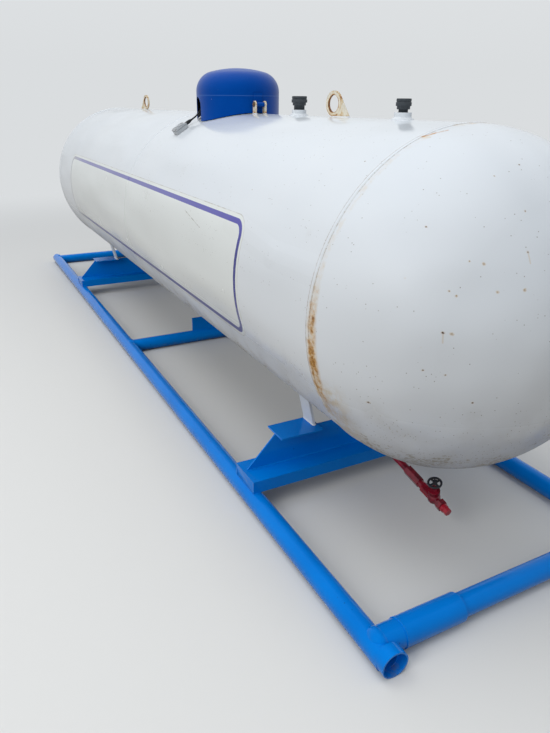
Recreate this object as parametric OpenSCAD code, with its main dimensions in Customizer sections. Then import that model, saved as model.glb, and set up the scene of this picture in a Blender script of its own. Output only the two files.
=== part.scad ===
/* [Tank] */
// Outside diameter of the shell
tank_od = 1041.4; // [800:0.1:1200]
// Wall of the shell and of the heads
tank_wall = 7; // [5:0.5:12]
// Length of the straight shell between the two head seams
shell_len = 3878; // [3400:1:4200]
// Depth of each domed head
head_depth = 483; // [470:1:510]
// Knuckle radius where a head turns into the shell
head_knuckle_r = 460; // [430:1:465]
// Clear height of the tank's belly above the floor
belly_h = 303; // [280:1:400]
// Distance of the tank's middle from the skid's middle
tank_shift = 135; // [0:1:160]
// Width of a raised weld bead round a seam
seam_bead_w = 16; // [8:1:30]
// Height of a raised weld bead
seam_bead_h = 2.2; // [1:0.1:4]

/* [Skid] */
// Distance between the end cross tubes, centre to centre
skid_len = 4970; // [4800:1:5400]
// Distance between the runners, centre to centre
skid_w = 1040; // [960:1:1200]
// Outside diameter of the runners and cross tubes
tube_od = 73; // [60:0.1:90]
// Wall of the runners and cross tubes
tube_wall = 5.2; // [3:0.1:8]
// Length of runner past each end cross tube
runner_overhang = 82; // [60:1:200]
// Outside diameter of the sleeves on the near cross tube
sleeve_od = 88.9; // [84:0.1:110]
// Distance of a sleeve's outer end from its runner's centre
sleeve_inset = 78; // [60:1:120]
// Length of a sleeve
sleeve_len = 211; // [120:1:300]
// Outside diameter of the runners' open collars and of the stubs that join the sleeves to them
stub_od = 84; // [78:0.1:84]
// Length of the open collar on each runner's near end
collar_len = 38; // [25:1:39]
// Distance of a collar's centre inwards from its runner's centre
collar_inset = 6; // [4:0.5:10]
// Place of the middle cross tube along the skid
middle_tube_x = -8; // [-200:1:200]
// Width of the upright plate on the middle cross tube
belly_plate_w = 238; // [150:1:400]
// Height of the upright plate above its tube
belly_plate_h = 82; // [60:1:150]
// Thickness of the upright plate
belly_plate_t = 10; // [6:0.5:16]

/* [Saddles] */
// Distance of each saddle inwards from its head seam
saddle_inset = 410; // [330:1:600]
// Width of the channel that lies across the runners
channel_w = 152.4; // [120:0.1:180]
// Height of the channel, flanges down
channel_h = 48.8; // [40:0.1:60]
// Wall of the channel
channel_t = 6; // [4:0.1:9]
// Length of the channel past each runner's centre
channel_past = 15; // [0:1:30]
// Distance of the channel's middle from the web towards the near end
channel_off = 10; // [0:1:20]
// Height of the saddle web above its channel
web_h = 126; // [90:1:150]
// Thickness of the saddle web
web_t = 6; // [5:0.5:16]
// Width of the web along its top edge
web_top_w = 808; // [700:1:900]
// Height of the web's upright edge above its channel
web_edge_h = 3; // [2:0.5:20]
// Length of a pad along the web's top
pad_len = 178; // [120:1:240]
// Width of a pad along the tank
pad_w = 116; // [80:1:160]
// Thickness of a pad
pad_t = 7; // [5:0.5:14]
// Width of a leg along the tank
leg_w = 74; // [60:1:130]
// Thickness of a leg
leg_t = 10; // [6:0.5:16]
// Distance of each leg's foot from the tank's centre plane
leg_y = 242; // [220:1:300]
// Outward lean of each leg in degrees
leg_lean = 13; // [0:0.5:20]
// Distance of each leg from its web towards the tank's middle
leg_inset = 21; // [0:1:40]

/* [Lifting lugs] */
// Distance of each lug's eye inwards from its head seam
lug_inset = 730; // [500:1:1000]
// Height of the eye's centre above the tank's crown
lug_eye_h = 45; // [40:1:60]
// Radius of the round eye plate
lug_eye_r = 44; // [40:1:60]
// Diameter of the hole in the eye
lug_hole_d = 60; // [50:1:76]
// Length of the tail, from the eye's centre to its outer end
lug_tail = 88; // [80:1:150]
// Height of the tail at its outer end
lug_tail_h = 4; // [2:1:30]
// Thickness of a lug
lug_t = 8; // [6:0.5:20]
// Turn of each lug about the upright in degrees
lug_turn = 6; // [0:1:10]

/* [Relief valves] */
// Distance of the near relief valve inwards from the near head seam
near_relief_inset = 319; // [240:1:420]
// Distance of the far relief valve inwards from the near head seam
far_relief_inset = 994; // [880:1:1100]
// Outside diameter of the near coupling
near_coupling_d = 56; // [42:1:60]
// Outside diameter of the far coupling
far_coupling_d = 58; // [52:1:75]
// Height of both couplings above the crown
coupling_h = 21; // [15:1:40]
// Width of the weld round a coupling's foot
coupling_weld = 7; // [3:0.5:12]
// Diameter of the near valve's neck
near_neck_d = 30; // [20:1:34]
// Diameter of the far valve's neck
far_neck_d = 43; // [30:1:44]
// Visible height of the near valve's neck
near_neck_h = 9; // [4:0.5:20]
// Visible height of the far valve's neck
far_neck_h = 16; // [6:0.5:24]
// Diameter of the near rain cap
near_cap_d = 47; // [40:1:56]
// Diameter of the far rain cap
far_cap_d = 61; // [50:1:70]
// Height of the near rain cap
near_cap_h = 32; // [20:1:50]
// Height of the far rain cap
far_cap_h = 35; // [20:1:50]
// Height of the brim round a rain cap's lower edge
brim_h = 3; // [2:0.5:6]

/* [Hood] */
// Distance of the hood's centre from the tank's middle
hood_x = 335; // [200:1:450]
// Outside diameter of the hood
hood_d = 400; // [360:1:430]
// Height of the hood above the tank's crown
hood_h = 197; // [185:1:230]
// Sheet thickness of the hood
hood_t = 3; // [2:0.5:5]
// Radius of the hood's shoulder
hood_shoulder_r = 92; // [60:1:110]
// Radius of the hood's shallow crown
hood_crown_r = 520; // [350:1:900]
// Gap between the hood's lower edge and the tank
hood_gap = 3; // [1:0.5:8]
// Width of the arched opening in the hood
arch_w = 88; // [80:1:120]
// Height of the arch above the tank's crown
arch_h = 70; // [60:1:100]
// Turn of the arch from the front towards the far end
arch_turn = 9; // [0:1:26]
// Distance of the hinge's middle from the tank's centre plane
hinge_off = 10; // [-20:1:20]
// Diameter of the hinge pin
pin_d = 12; // [8:0.5:14]
// Height of the hinge pin above the tank's crown
pin_h = 39; // [34:1:50]
// Clear distance between the hinge ears
ear_gap = 44; // [36:1:60]
// Thickness of a hinge ear
ear_t = 6; // [4:0.5:8]
// Radius of the rounded top of a hinge ear
ear_r = 15; // [12:1:17]

/* [Valves under the hood] */
// Diameter of the welded couplings under the hood
port_d = 52; // [44:1:58]
// Height of the couplings above the crown
port_h = 26; // [18:1:34]
// Distance of each coupling from the hood's centre
port_reach = 92; // [84:1:100]

/* [Level monitor] */
// Place of the monitor box along the tank, from the tank's middle
box_x = 290; // [200:1:330]
// Turn of the monitor box down the front of the shell
box_turn = 32.5; // [30:0.5:40]
// Length of the monitor box round the shell
box_len = 65; // [60:1:110]
// Width of the monitor box along the tank
box_w = 56; // [40:1:70]
// Height of the monitor box
box_h = 28; // [20:1:36]
// Diameter of the lead's plug
plug_d = 18; // [14:1:22]
// Length of the lead's plug
plug_len = 40; // [25:1:45]
// Diameter of the black lead
lead_d = 8; // [5:0.5:10]

/* [Drain line] */
// Distance of the drain outlet beyond the near saddle
drain_past_saddle = 101; // [95:1:170]
// Outside diameter of the drain pipe
drain_od = 26.7; // [24:0.1:42]
// Depth of the drain elbow's centre below the belly
drain_drop = 122; // [100:1:150]
// Downward slope of the drain line in degrees
drain_slope = 11; // [0:0.5:15]
// Length of the nipple between the drain elbow and its first valve
nipple_len = 195; // [150:1:230]
// Length of the first valve's hex body
hex_body_len = 76; // [50:1:100]
// Size across flats of the first valve's hex body
hex_body_af = 33; // [30:0.5:50]
// Diameter of the globe valve's body
globe_d = 46; // [42:1:64]
// Turn of the globe valve round the drain line towards the front
globe_turn = 14; // [-20:1:25]
// Height of the handwheel above the line's centre
wheel_h = 76; // [70:1:95]
// Diameter of the drain valve's handwheel
wheel_d = 52; // [44:1:80]

/* [Hidden] */
$fn = 96;

steel_blue = "#0a6cc8";
hood_blue = "#0f4493";
tank_white = "#dde1e4";
cream = "#d8cfba";
black = "#191a1c";
grey = "#9b9ea1";
brass = "#b08d4a";
red = "#8c1228";

// Gap left where one piece sits on another
seat = 0.3;
// Gap left round a pin in its bore
pin_play = 0.08;
// Length that a cutter runs past what it cuts
past = 1;

tank_r = tank_od / 2;
tank_z = belly_h + tank_r;
crown_z = tank_z + tank_r;
half_shell = shell_len / 2;
near_seam_x = tank_shift + half_shell;
// Crown radius that makes a dished head meet the shell without a step
head_crown_r = (pow(tank_r - head_knuckle_r, 2) + pow(head_depth, 2) - pow(head_knuckle_r, 2))
  / (2 * (head_depth - head_knuckle_r));

runner_len = skid_len + 2 * runner_overhang;
runner_y = skid_w / 2;
tube_r = tube_od / 2;
sleeve_r = sleeve_od / 2;
// Length by which a runner reaches into its open collar
collar_lap = 12;

saddle_reach = half_shell - saddle_inset;
channel_z = tube_od + seat;
web_foot_z = channel_z + channel_h + seat;
web_top_z = web_foot_z + web_h;
pad_top_z = web_top_z + pad_t;

lug_reach = half_shell - lug_inset;
near_relief_x = near_seam_x - near_relief_inset;
far_relief_x = near_seam_x - far_relief_inset;
// Depth by which a valve's neck reaches into its coupling
neck_depth = 12;

hood_r = hood_d / 2;
hood_cx = tank_shift + hood_x;
// Depth of the hood's skirt below the crown, before it is cut to the shell
hood_foot = tank_r - sqrt(pow(tank_r, 2) - pow(hood_r, 2)) + 8;
// The pin clears the hood's wall by the ear and a working gap
hinge_gap = 7;
pin_x = hood_cx + hood_r + ear_r + hinge_gap;
pin_z = crown_z + pin_h;
pin_end = 7;
knuckle_wall = 4;
knuckle_side_gap = 2;
strap_t = 5;
strap_h = 50;

// The four ports stand on a ring round the hood's centre
port_angles = [45, 135, 225, 315];
function port_at(i) = [hood_cx + port_reach * cos(port_angles[i]), port_reach * sin(port_angles[i])];
gauge_dial_d = 48;
gauge_dial_z = crown_z + port_h + seat + 28;
// Turn of the lead's last stretch from square to the tank
lead_turn = 12;

// Point on the plug's centre line, this far past its end
function plug_point(along) =
  let (y = box_len / 2 + seat + plug_len + along, r = tank_r + box_h / 2)
  [tank_shift + box_x, y * cos(box_turn) - r * sin(box_turn), tank_z + y * sin(box_turn) + r * cos(box_turn)];
// Point level with the gauge's dial, this far from its side
function dial_point(along) =
  let (reach = gauge_dial_d / 2 + seat + along)
  [port_at(2)[0] - reach * sin(lead_turn), port_at(2)[1] - reach * cos(lead_turn), gauge_dial_z];
// Point at share t of a smooth curve that leaves a towards b and reaches d from c
function bezier(a, b, c, d, t) =
  pow(1 - t, 3) * a + 3 * t * pow(1 - t, 2) * b + 3 * t * t * (1 - t) * c + pow(t, 3) * d;

// Points of the lead from the plug, through the arch, to the gauge
lead_route = concat(
  [plug_point(seat)],
  [for (i = [0:8]) bezier(plug_point(14), plug_point(59), dial_point(55), dial_point(10), i / 8)],
  [dial_point(0)]
);

drain_x = tank_shift + saddle_reach + drain_past_saddle;
drain_z = belly_h - drain_drop;
drain_r = drain_od / 2;
// Stations along the drain line, from the elbow's centre
collar_at = nipple_len + hex_body_len;
nut_at = collar_at + 20;
globe_at = nut_at + 14 + seat;
globe_mid = globe_at + 43;
outlet_at = globe_mid + 28;
plug_at = outlet_at + 20 + seat;
stem_d = 8;
rim_r = 4;

// Pipe along X, open at both ends
module pipe_x(d, wall, len) {
  rotate([0, 90, 0])
    difference() {
      cylinder(d = d, h = len, center = true);
      cylinder(d = d - 2 * wall, h = len + 2 * past, center = true);
    }
}

// Pipe along Y, open at both ends
module pipe_y(d, wall, len) {
  rotate([0, 0, 90]) pipe_x(d, wall, len);
}

// Both runners as solid bars, to cut the ends of pipes that meet them
module runner_cutters() {
  for (side = [-1, 1])
    translate([0, side * runner_y, tube_r])
      rotate([0, 90, 0]) cylinder(d = tube_od + 2 * seat, h = runner_len, center = true);
}

// The shell's outside, a little larger, to shape what sits on it
module shell_cutter(extra) {
  translate([tank_shift, 0, tank_z])
    rotate([0, 90, 0]) cylinder(r = tank_r + extra, h = shell_len, center = true, $fn = 180);
}

// Half profile of a dished top of radius r and height h, with a knuckle and a shallower crown
module dish_profile(r, h, knuckle, crown, foot) {
  reach = r - knuckle;
  crown_c = h - crown;
  knuckle_z = crown_c + sqrt(pow(crown - knuckle, 2) - pow(reach, 2));
  lean = asin(reach / (crown - knuckle));
  intersection() {
    translate([0, -foot]) square([r + past, h + foot + past]);
    union() {
      translate([0, -foot - past]) square([r, foot + past + knuckle_z]);
      translate([reach, knuckle_z]) circle(knuckle, $fn = 180);
      intersection() {
        translate([0, crown_c]) circle(crown, $fn = 360);
        polygon([
          [0, crown_c],
          [2 * crown * sin(lean), crown_c + 2 * crown * cos(lean)],
          [0, crown_c + 2 * crown * cos(lean)]
        ]);
      }
    }
  }
}

// A dished shell of even thickness, open below
module dish_shell(r, h, knuckle, crown, wall, foot) {
  rotate_extrude($fn = 180)
    difference() {
      dish_profile(r, h, knuckle, crown, foot);
      dish_profile(r - wall, h - wall, knuckle - wall, crown - wall, foot + past);
    }
}

module tank_shell() {
  color(tank_white)
    translate([tank_shift, 0, tank_z])
      rotate([0, 90, 0])
        difference() {
          cylinder(r = tank_r, h = shell_len, center = true, $fn = 180);
          cylinder(r = tank_r - tank_wall, h = shell_len + 2 * past, center = true, $fn = 180);
        }
}

module tank_head(end) {
  color(tank_white)
    translate([tank_shift + end * half_shell, 0, tank_z])
      rotate([0, end * 90, 0])
        dish_shell(tank_r, head_depth, head_knuckle_r, head_crown_r, tank_wall, 0);
}

// Low rounded bead round the tank
module seam_weld(x) {
  bead_r = (pow(seam_bead_w / 2, 2) + pow(seam_bead_h, 2)) / (2 * seam_bead_h);
  foot_r = tank_r + seat;
  color(tank_white)
    translate([x, 0, tank_z])
      rotate([0, 90, 0])
        rotate_extrude($fn = 180)
          intersection() {
            translate([foot_r + seam_bead_h - bead_r, 0]) circle(bead_r, $fn = 180);
            translate([foot_r, -seam_bead_w]) square([2 * seam_bead_h, 2 * seam_bead_w]);
          }
}

// Round eye plate with a tail that slopes down towards the tank's end
module lifting_lug(end) {
  fall = lug_tail_h - lug_eye_h;
  // Angle round the eye at which the sloping edge from the tail touches it
  touch_angle = atan2(fall, lug_tail) + acos(lug_eye_r / norm([lug_tail, fall]));
  touch = [lug_eye_r * cos(touch_angle), lug_eye_h + lug_eye_r * sin(touch_angle)];
  color(cream)
    translate([tank_shift + end * lug_reach, 0, crown_z + seat])
      rotate([90, 0, lug_turn + (end > 0 ? 0 : 180)])
        linear_extrude(lug_t, center = true)
          difference() {
            union() {
              polygon([[0, 0], [lug_tail, 0], [lug_tail, lug_tail_h], touch, [0, lug_eye_h]]);
              translate([0, lug_eye_h]) circle(lug_eye_r);
            }
            translate([0, lug_eye_h]) circle(d = lug_hole_d);
            translate([-lug_eye_r - past, -lug_eye_r]) square([2 * lug_eye_r + 2 * past, lug_eye_r]);
          }
}

// Short welded coupling, shaped below to the shell
module relief_coupling(x, d, bore) {
  sunk = 4;
  color(tank_white)
    difference() {
      union() {
        translate([x, 0, crown_z - sunk]) cylinder(d = d, h = coupling_h + sunk);
        translate([x, 0, crown_z - sunk]) cylinder(d = d + 2 * coupling_weld, h = sunk + seat);
        translate([x, 0, crown_z + seat]) cylinder(d1 = d + 2 * coupling_weld, d2 = d, h = coupling_weld);
      }
      shell_cutter(seat);
      translate([x, 0, crown_z + coupling_h - neck_depth]) cylinder(d = bore, h = neck_depth + past);
    }
}

// Rubber rain cap with a thin brim, on the valve's neck
module rain_cap(x, neck_d, neck_h, cap_d, cap_h) {
  edge_r = cap_h / 6;
  color(black)
    translate([x, 0, crown_z + coupling_h])
      union() {
        translate([0, 0, seat - neck_depth]) cylinder(d = neck_d, h = neck_h + neck_depth);
        translate([0, 0, neck_h]) cylinder(d = cap_d + brim_h, h = brim_h);
        translate([0, 0, neck_h]) cylinder(d = cap_d, h = cap_h - edge_r);
        translate([0, 0, neck_h]) cylinder(d = cap_d - 2 * edge_r, h = cap_h);
        translate([0, 0, neck_h + cap_h - edge_r])
          rotate_extrude() translate([cap_d / 2 - edge_r, 0]) circle(edge_r);
      }
}

module near_relief_coupling() {
  relief_coupling(near_relief_x, near_coupling_d, near_neck_d + 2 * seat);
}

module far_relief_coupling() {
  relief_coupling(far_relief_x, far_coupling_d, far_neck_d + 2 * seat);
}

module near_relief_cap() {
  rain_cap(near_relief_x, near_neck_d, near_neck_h, near_cap_d, near_cap_h);
}

module far_relief_cap() {
  rain_cap(far_relief_x, far_neck_d, far_neck_h, far_cap_d, far_cap_h);
}

module on_port(i) {
  translate([port_at(i)[0], port_at(i)[1], crown_z + port_h + seat]) children();
}

// Four half couplings welded to the crown under the hood
module port_couplings() {
  sunk = 30;
  color(tank_white)
    for (i = [0:3])
      difference() {
        translate([port_at(i)[0], port_at(i)[1], crown_z - sunk]) cylinder(d = port_d, h = port_h + sunk);
        shell_cutter(seat);
      }
}

module hex_bar(across_flats, h) {
  cylinder(d = across_flats / cos(30), h = h, $fn = 6);
}

// Stack of turned steps, each given as its diameter, its foot and its top
module turned(steps) {
  for (step = steps)
    translate([0, 0, step[1]]) cylinder(d = step[0], h = step[2] - step[1]);
}

// Filler valve with its screwed cap
module fill_valve() {
  color(brass)
    on_port(3) {
      hex_bar(48, 16);
      turned([[36, 0, 40], [46, 40, 64], [42, 64, 70], [20, 70, 78]]);
    }
}

// Angle valve with its side outlet, bonnet and small handwheel
module service_valve() {
  stem_h = 66;
  color(brass)
    on_port(1) {
      hex_bar(42, 14);
      turned([[30, 0, 52], [18, 52, stem_h]]);
      translate([0, 0, 34]) rotate([90, 0, 0]) cylinder(d = 24, h = 34);
      translate([0, 0, stem_h]) cylinder(d = 40, h = 5);
      translate([0, 0, stem_h + 4]) rotate_extrude() translate([22, 0]) circle(4);
    }
}

// Vapour return valve with its screwed cap
module vapour_valve() {
  color(brass)
    on_port(0) {
      hex_bar(44, 16);
      turned([[34, 0, 44], [42, 44, 58], [38, 58, 62]]);
    }
}

// Float gauge with its flange, neck and round dial housing
module float_gauge() {
  color(grey)
    on_port(2)
      turned([[50, 0, 8], [34, 8, 22], [gauge_dial_d, 22, 34]]);
}

// Two ears on the crown that carry the hinge pin
module hinge_ears() {
  foot = seat;
  color(cream)
    for (side = [-1, 1])
      translate([pin_x, hinge_off + side * (ear_gap + ear_t) / 2, crown_z])
        rotate([90, 0, 0])
          linear_extrude(ear_t, center = true)
            difference() {
              union() {
                translate([0, pin_h]) circle(ear_r);
                translate([-ear_r, foot]) square([2 * ear_r, pin_h - foot]);
              }
              translate([0, pin_h]) circle(d = pin_d + 2 * pin_play);
            }
}

module hinge_pin() {
  pin_len = ear_gap + 2 * ear_t + 2 * pin_end;
  color(grey)
    translate([pin_x, hinge_off, pin_z])
      rotate([90, 0, 0]) cylinder(d = pin_d, h = pin_len, center = true);
}

// Dished hood, its skirt cut to the shell's curve, with an arched opening for the lead
module hood() {
  color(hood_blue)
    difference() {
      translate([hood_cx, 0, crown_z])
        dish_shell(hood_r, hood_h, hood_shoulder_r, hood_crown_r, hood_t, hood_foot);
      shell_cutter(hood_gap);
      translate([hood_cx, 0, crown_z])
        rotate([90, 0, -arch_turn])
          translate([0, 0, hood_r / 2])
            linear_extrude(hood_r) arch_outline();
    }
}

module arch_outline() {
  spring = arch_h - arch_w / 2;
  translate([0, spring]) circle(d = arch_w);
  translate([-arch_w / 2, -hood_foot - past]) square([arch_w, hood_foot + past + spring]);
}

// Barrel round the pin, on a strap that follows the hood's wall
module hood_knuckle() {
  barrel_r = pin_d / 2 + knuckle_wall;
  barrel_w = ear_gap - 2 * knuckle_side_gap;
  // The wall falls away from the strap's middle by this much at its edge
  bow = hood_r - sqrt(pow(hood_r, 2) - pow(barrel_w / 2 + abs(hinge_off), 2));
  strap_x = hood_cx + hood_r - bow;
  color(hood_blue)
    difference() {
      translate([0, hinge_off, 0])
        union() {
          translate([pin_x, 0, pin_z]) rotate([90, 0, 0]) cylinder(r = barrel_r, h = barrel_w, center = true);
          translate([strap_x, -barrel_w / 2, pin_z]) cube([pin_x - strap_x, barrel_w, barrel_r]);
          translate([strap_x, -barrel_w / 2, pin_z]) cube([bow + strap_t, barrel_w, strap_h]);
        }
      translate([pin_x, hinge_off, pin_z])
        rotate([90, 0, 0]) cylinder(d = pin_d + 2 * pin_play, h = barrel_w + 2 * past, center = true);
      translate([hood_cx, 0, pin_z - past]) cylinder(r = hood_r + seat, h = strap_h + 2 * past, $fn = 180);
    }
}

module on_shell(x, turn) {
  translate([tank_shift + x, 0, tank_z]) rotate([turn, 0, 0]) translate([0, 0, tank_r]) children();
}

// Ribbed grey box on the shell's shoulder
module monitor_box() {
  ribs = 5;
  rib_h = 5;
  sunk = 6;
  rib_pitch = box_len / (ribs + 1);
  color(grey)
    difference() {
      on_shell(box_x, box_turn)
        union() {
          translate([-box_w / 2, -box_len / 2, -sunk]) cube([box_w, box_len, box_h + sunk - rib_h + 1]);
          for (i = [0:ribs - 1])
            translate([-box_w / 2, -box_len / 2 + rib_pitch * (i + 0.7), box_h - rib_h])
              cube([box_w, rib_pitch / 2, rib_h]);
        }
      shell_cutter(seat);
    }
}

module monitor_plug() {
  color(black)
    on_shell(box_x, box_turn)
      translate([0, box_len / 2 + seat, box_h / 2]) rotate([-90, 0, 0]) cylinder(d = plug_d, h = plug_len);
}

function dir_at(p, i) =
  let (a = p[max(i - 1, 0)], b = p[min(i + 1, len(p) - 1)], d = b - a) d / norm(d);
function ring_at(c, d, r, sides) =
  let (s = cross(d, [1, 0, 0]), u = s / norm(s), v = cross(d, u))
  [for (k = [0:sides - 1]) c + r * (cos(360 * k / sides) * u + sin(360 * k / sides) * v)];

// Tube swept along a list of points
module swept_tube(p, d, sides) {
  rings = [for (i = [0:len(p) - 1]) each ring_at(p[i], dir_at(p, i), d / 2, sides)];
  last = (len(p) - 1) * sides;
  faces = concat(
    [[for (k = [sides - 1:-1:0]) k]],
    [[for (k = [0:sides - 1]) last + k]],
    [for (i = [0:len(p) - 2]) for (k = [0:sides - 1])
      [i * sides + k, i * sides + (k + 1) % sides, (i + 1) * sides + (k + 1) % sides, (i + 1) * sides + k]]
  );
  polyhedron(points = rings, faces = faces, convexity = 4);
}

module monitor_lead() {
  color(black) swept_tube(lead_route, lead_d, 10);
}

// Flat leg from its pad up to the belly, leaning out at its top
module tank_leg(end, side) {
  leg_x = tank_shift + end * (saddle_reach - leg_inset);
  foot_z = pad_top_z + seat;
  top_y = leg_y + (tank_z - foot_z) * tan(leg_lean);
  color(tank_white)
    difference() {
      translate([leg_x - leg_w / 2, 0, 0])
        rotate([90, 0, 90])
          linear_extrude(leg_w)
            polygon([
              [side * (leg_y - leg_t / 2), foot_z], [side * (leg_y + leg_t / 2), foot_z],
              [side * (top_y + leg_t / 2), tank_z], [side * (top_y - leg_t / 2), tank_z]
            ]);
      shell_cutter(seat);
    }
}

module saddle_pads(end) {
  x = tank_shift + end * saddle_reach;
  color(steel_blue)
    for (side = [-1, 1])
      translate([x - pad_w / 2, side * (web_top_w - pad_len) / 2 - pad_len / 2, web_top_z])
        cube([pad_w, pad_len, pad_t]);
}

// Upright plate on the channel, its ends sloping in towards the pads
module saddle_web(end) {
  edge_z = web_foot_z + web_edge_h;
  color(steel_blue)
    translate([tank_shift + end * saddle_reach - web_t / 2, 0, 0])
      rotate([90, 0, 90])
        linear_extrude(web_t)
          polygon([
            [-runner_y, web_foot_z], [runner_y, web_foot_z], [runner_y, edge_z],
            [web_top_w / 2, web_top_z], [-web_top_w / 2, web_top_z], [-runner_y, edge_z]
          ]);
}

// Channel laid flat across both runners, its flanges down
module saddle_channel(end) {
  len = skid_w + 2 * channel_past;
  color(steel_blue)
    translate([tank_shift + end * saddle_reach + channel_off, 0, channel_z])
      difference() {
        translate([-channel_w / 2, -len / 2, 0]) cube([channel_w, len, channel_h]);
        translate([channel_t - channel_w / 2, -len / 2 - past, -past])
          cube([channel_w - 2 * channel_t, len + 2 * past, channel_h - channel_t + past]);
      }
}

// Runner with a larger open collar welded on its near end
module runner(side) {
  collar_x = runner_len / 2 - collar_len;
  color(steel_blue)
    difference() {
      union() {
        translate([-runner_len / 2, side * runner_y, tube_r])
          rotate([0, 90, 0]) cylinder(d = tube_od, h = runner_len - collar_len + collar_lap);
        translate([collar_x, side * (runner_y - collar_inset), stub_od / 2])
          rotate([0, 90, 0]) cylinder(d = stub_od, h = collar_len);
      }
      translate([-runner_len / 2 - past, side * runner_y, tube_r])
        rotate([0, 90, 0]) cylinder(d = tube_od - 2 * tube_wall, h = runner_len + 2 * past);
      translate([collar_x + collar_lap, side * (runner_y - collar_inset), stub_od / 2])
        rotate([0, 90, 0]) cylinder(d = stub_od - 2 * tube_wall, h = collar_len);
    }
}

module cross_tube(x, z) {
  color(steel_blue)
    difference() {
      translate([x, 0, z]) pipe_y(tube_od, tube_wall, skid_w);
      runner_cutters();
    }
}

// Sleeves over the near cross tube, each with a stub that meets its runner
module near_cross_sleeves() {
  sleeve_y = runner_y - sleeve_inset - sleeve_len / 2;
  color(steel_blue)
    difference() {
      for (side = [-1, 1])
        translate([skid_len / 2, side * sleeve_y, sleeve_r])
          rotate([-90 * side, 0, 0])
            difference() {
              union() {
                cylinder(d = sleeve_od, h = sleeve_len, center = true);
                cylinder(d = stub_od, h = sleeve_len / 2 + sleeve_inset);
              }
              translate([0, 0, -sleeve_len]) cylinder(d = tube_od + 2 * seat, h = 2 * sleeve_len);
            }
      runner_cutters();
    }
}

module belly_plate() {
  color(steel_blue)
    translate([middle_tube_x - belly_plate_t / 2, -belly_plate_w / 2, tube_od + seat])
      cube([belly_plate_t, belly_plate_w, belly_plate_h]);
}

// Moves to a station on the sloping drain line, with local +X along the line
module on_drain(along) {
  translate([drain_x, 0, drain_z]) rotate([0, drain_slope, 0]) translate([along, 0, 0]) children();
}

// The same, with local +Z along the line
module turned_on_drain(along) {
  on_drain(along) rotate([0, 90, 0]) children();
}

// Drop pipe, elbow, nipple and first valve of the drain line
module drain_pipe() {
  elbow_band = 5;
  color(red)
    difference() {
      union() {
        translate([drain_x, 0, drain_z]) cylinder(r = drain_r, h = drain_drop + 5);
        translate([drain_x, 0, drain_z]) sphere(r = drain_r + elbow_band);
        turned_on_drain(0) cylinder(r = drain_r, h = collar_at);
        turned_on_drain(nipple_len) rotate([0, 0, 30]) hex_bar(hex_body_af, hex_body_len);
        turned_on_drain(collar_at) cylinder(d = 30, h = nut_at - collar_at);
        turned_on_drain(nut_at) hex_bar(34, globe_at - seat - nut_at);
      }
      shell_cutter(seat);
    }
}

// Globe valve with its bonnet, packing nut and stem
module drain_valve() {
  color(red)
    union() {
      turned_on_drain(globe_at) hex_bar(34, globe_mid - globe_at);
      on_drain(globe_mid) sphere(d = globe_d);
      turned_on_drain(globe_mid) cylinder(d = 30, h = plug_at - seat - globe_mid);
      turned_on_drain(outlet_at) rotate([0, 0, 30]) hex_bar(36, plug_at - seat - outlet_at);
      on_drain(globe_mid)
        rotate([globe_turn, 0, 0]) {
          turned([[32, 0, 40], [40, 24, 27], [40, 31, 34], [40, 38, 41], [stem_d, 50, wheel_h + 2 * rim_r]]);
          hex_bar(20, 56);
          translate([0, 0, wheel_h + 2 * rim_r]) cylinder(d = 15, h = 5);
        }
    }
}

// Spoked handwheel on the globe valve's stem
module drain_wheel() {
  hub_h = 2 * rim_r - 2 * seat;
  color(black)
    on_drain(globe_mid)
      rotate([globe_turn, 0, 0])
        translate([0, 0, wheel_h])
          difference() {
            union() {
              translate([0, 0, rim_r]) rotate_extrude() translate([wheel_d / 2 - rim_r, 0]) circle(rim_r);
              translate([0, 0, seat]) cylinder(d = 2 * stem_d, h = hub_h);
              for (turn = [0, 90])
                rotate([0, 0, turn])
                  translate([rim_r - wheel_d / 2, -3, 1.5]) cube([wheel_d - 2 * rim_r, 6, 5]);
            }
            translate([0, 0, -past]) cylinder(d = stem_d + 2 * pin_play, h = 2 * rim_r + 2 * past);
          }
}

module drain_plug() {
  color(red)
    turned_on_drain(plug_at) {
      turned([[30, 0, 12], [20, 12, 16]]);
      rotate([0, 0, 30]) hex_bar(24, 30);
    }
}

tank_shell();
tank_head(1);  // near_head
tank_head(-1);  // far_head
seam_weld(near_seam_x);  // near_seam_weld
seam_weld(tank_shift);  // middle_seam_weld
seam_weld(tank_shift - half_shell);  // far_seam_weld
lifting_lug(1);  // near_lifting_lug
lifting_lug(-1);  // far_lifting_lug
near_relief_coupling();
near_relief_cap();
far_relief_coupling();
far_relief_cap();
port_couplings();
fill_valve();
service_valve();
vapour_valve();
float_gauge();
hinge_ears();
hinge_pin();
hood();
hood_knuckle();
monitor_box();
monitor_plug();
monitor_lead();
tank_leg(1, -1);  // near_front_leg
tank_leg(1, 1);  // near_back_leg
tank_leg(-1, -1);  // far_front_leg
tank_leg(-1, 1);  // far_back_leg
saddle_pads(1);  // near_saddle_pads
saddle_pads(-1);  // far_saddle_pads
saddle_web(1);  // near_saddle_web
saddle_web(-1);  // far_saddle_web
saddle_channel(1);  // near_saddle_channel
saddle_channel(-1);  // far_saddle_channel
runner(-1);  // front_runner
runner(1);  // back_runner
cross_tube(skid_len / 2, sleeve_od / 2);  // near_cross_tube
cross_tube(-skid_len / 2, tube_r);  // far_cross_tube
cross_tube(middle_tube_x, tube_r);  // middle_cross_tube
near_cross_sleeves();
belly_plate();
drain_pipe();
drain_valve();
drain_wheel();
drain_plug();
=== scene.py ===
# %% [markdown]
# # A horizontal pressure tank on its pipe skid
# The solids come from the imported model: a white steel tank on flat legs, a blue
# skid welded up from pipe, a blue valve hood and a red drain line. This script
# adds what the solids don't carry: paint, rust, weld beads, the striped panel
# and the small parts of the fittings.

import math

import bmesh
import bpy
from mathutils import Matrix, Vector


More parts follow.
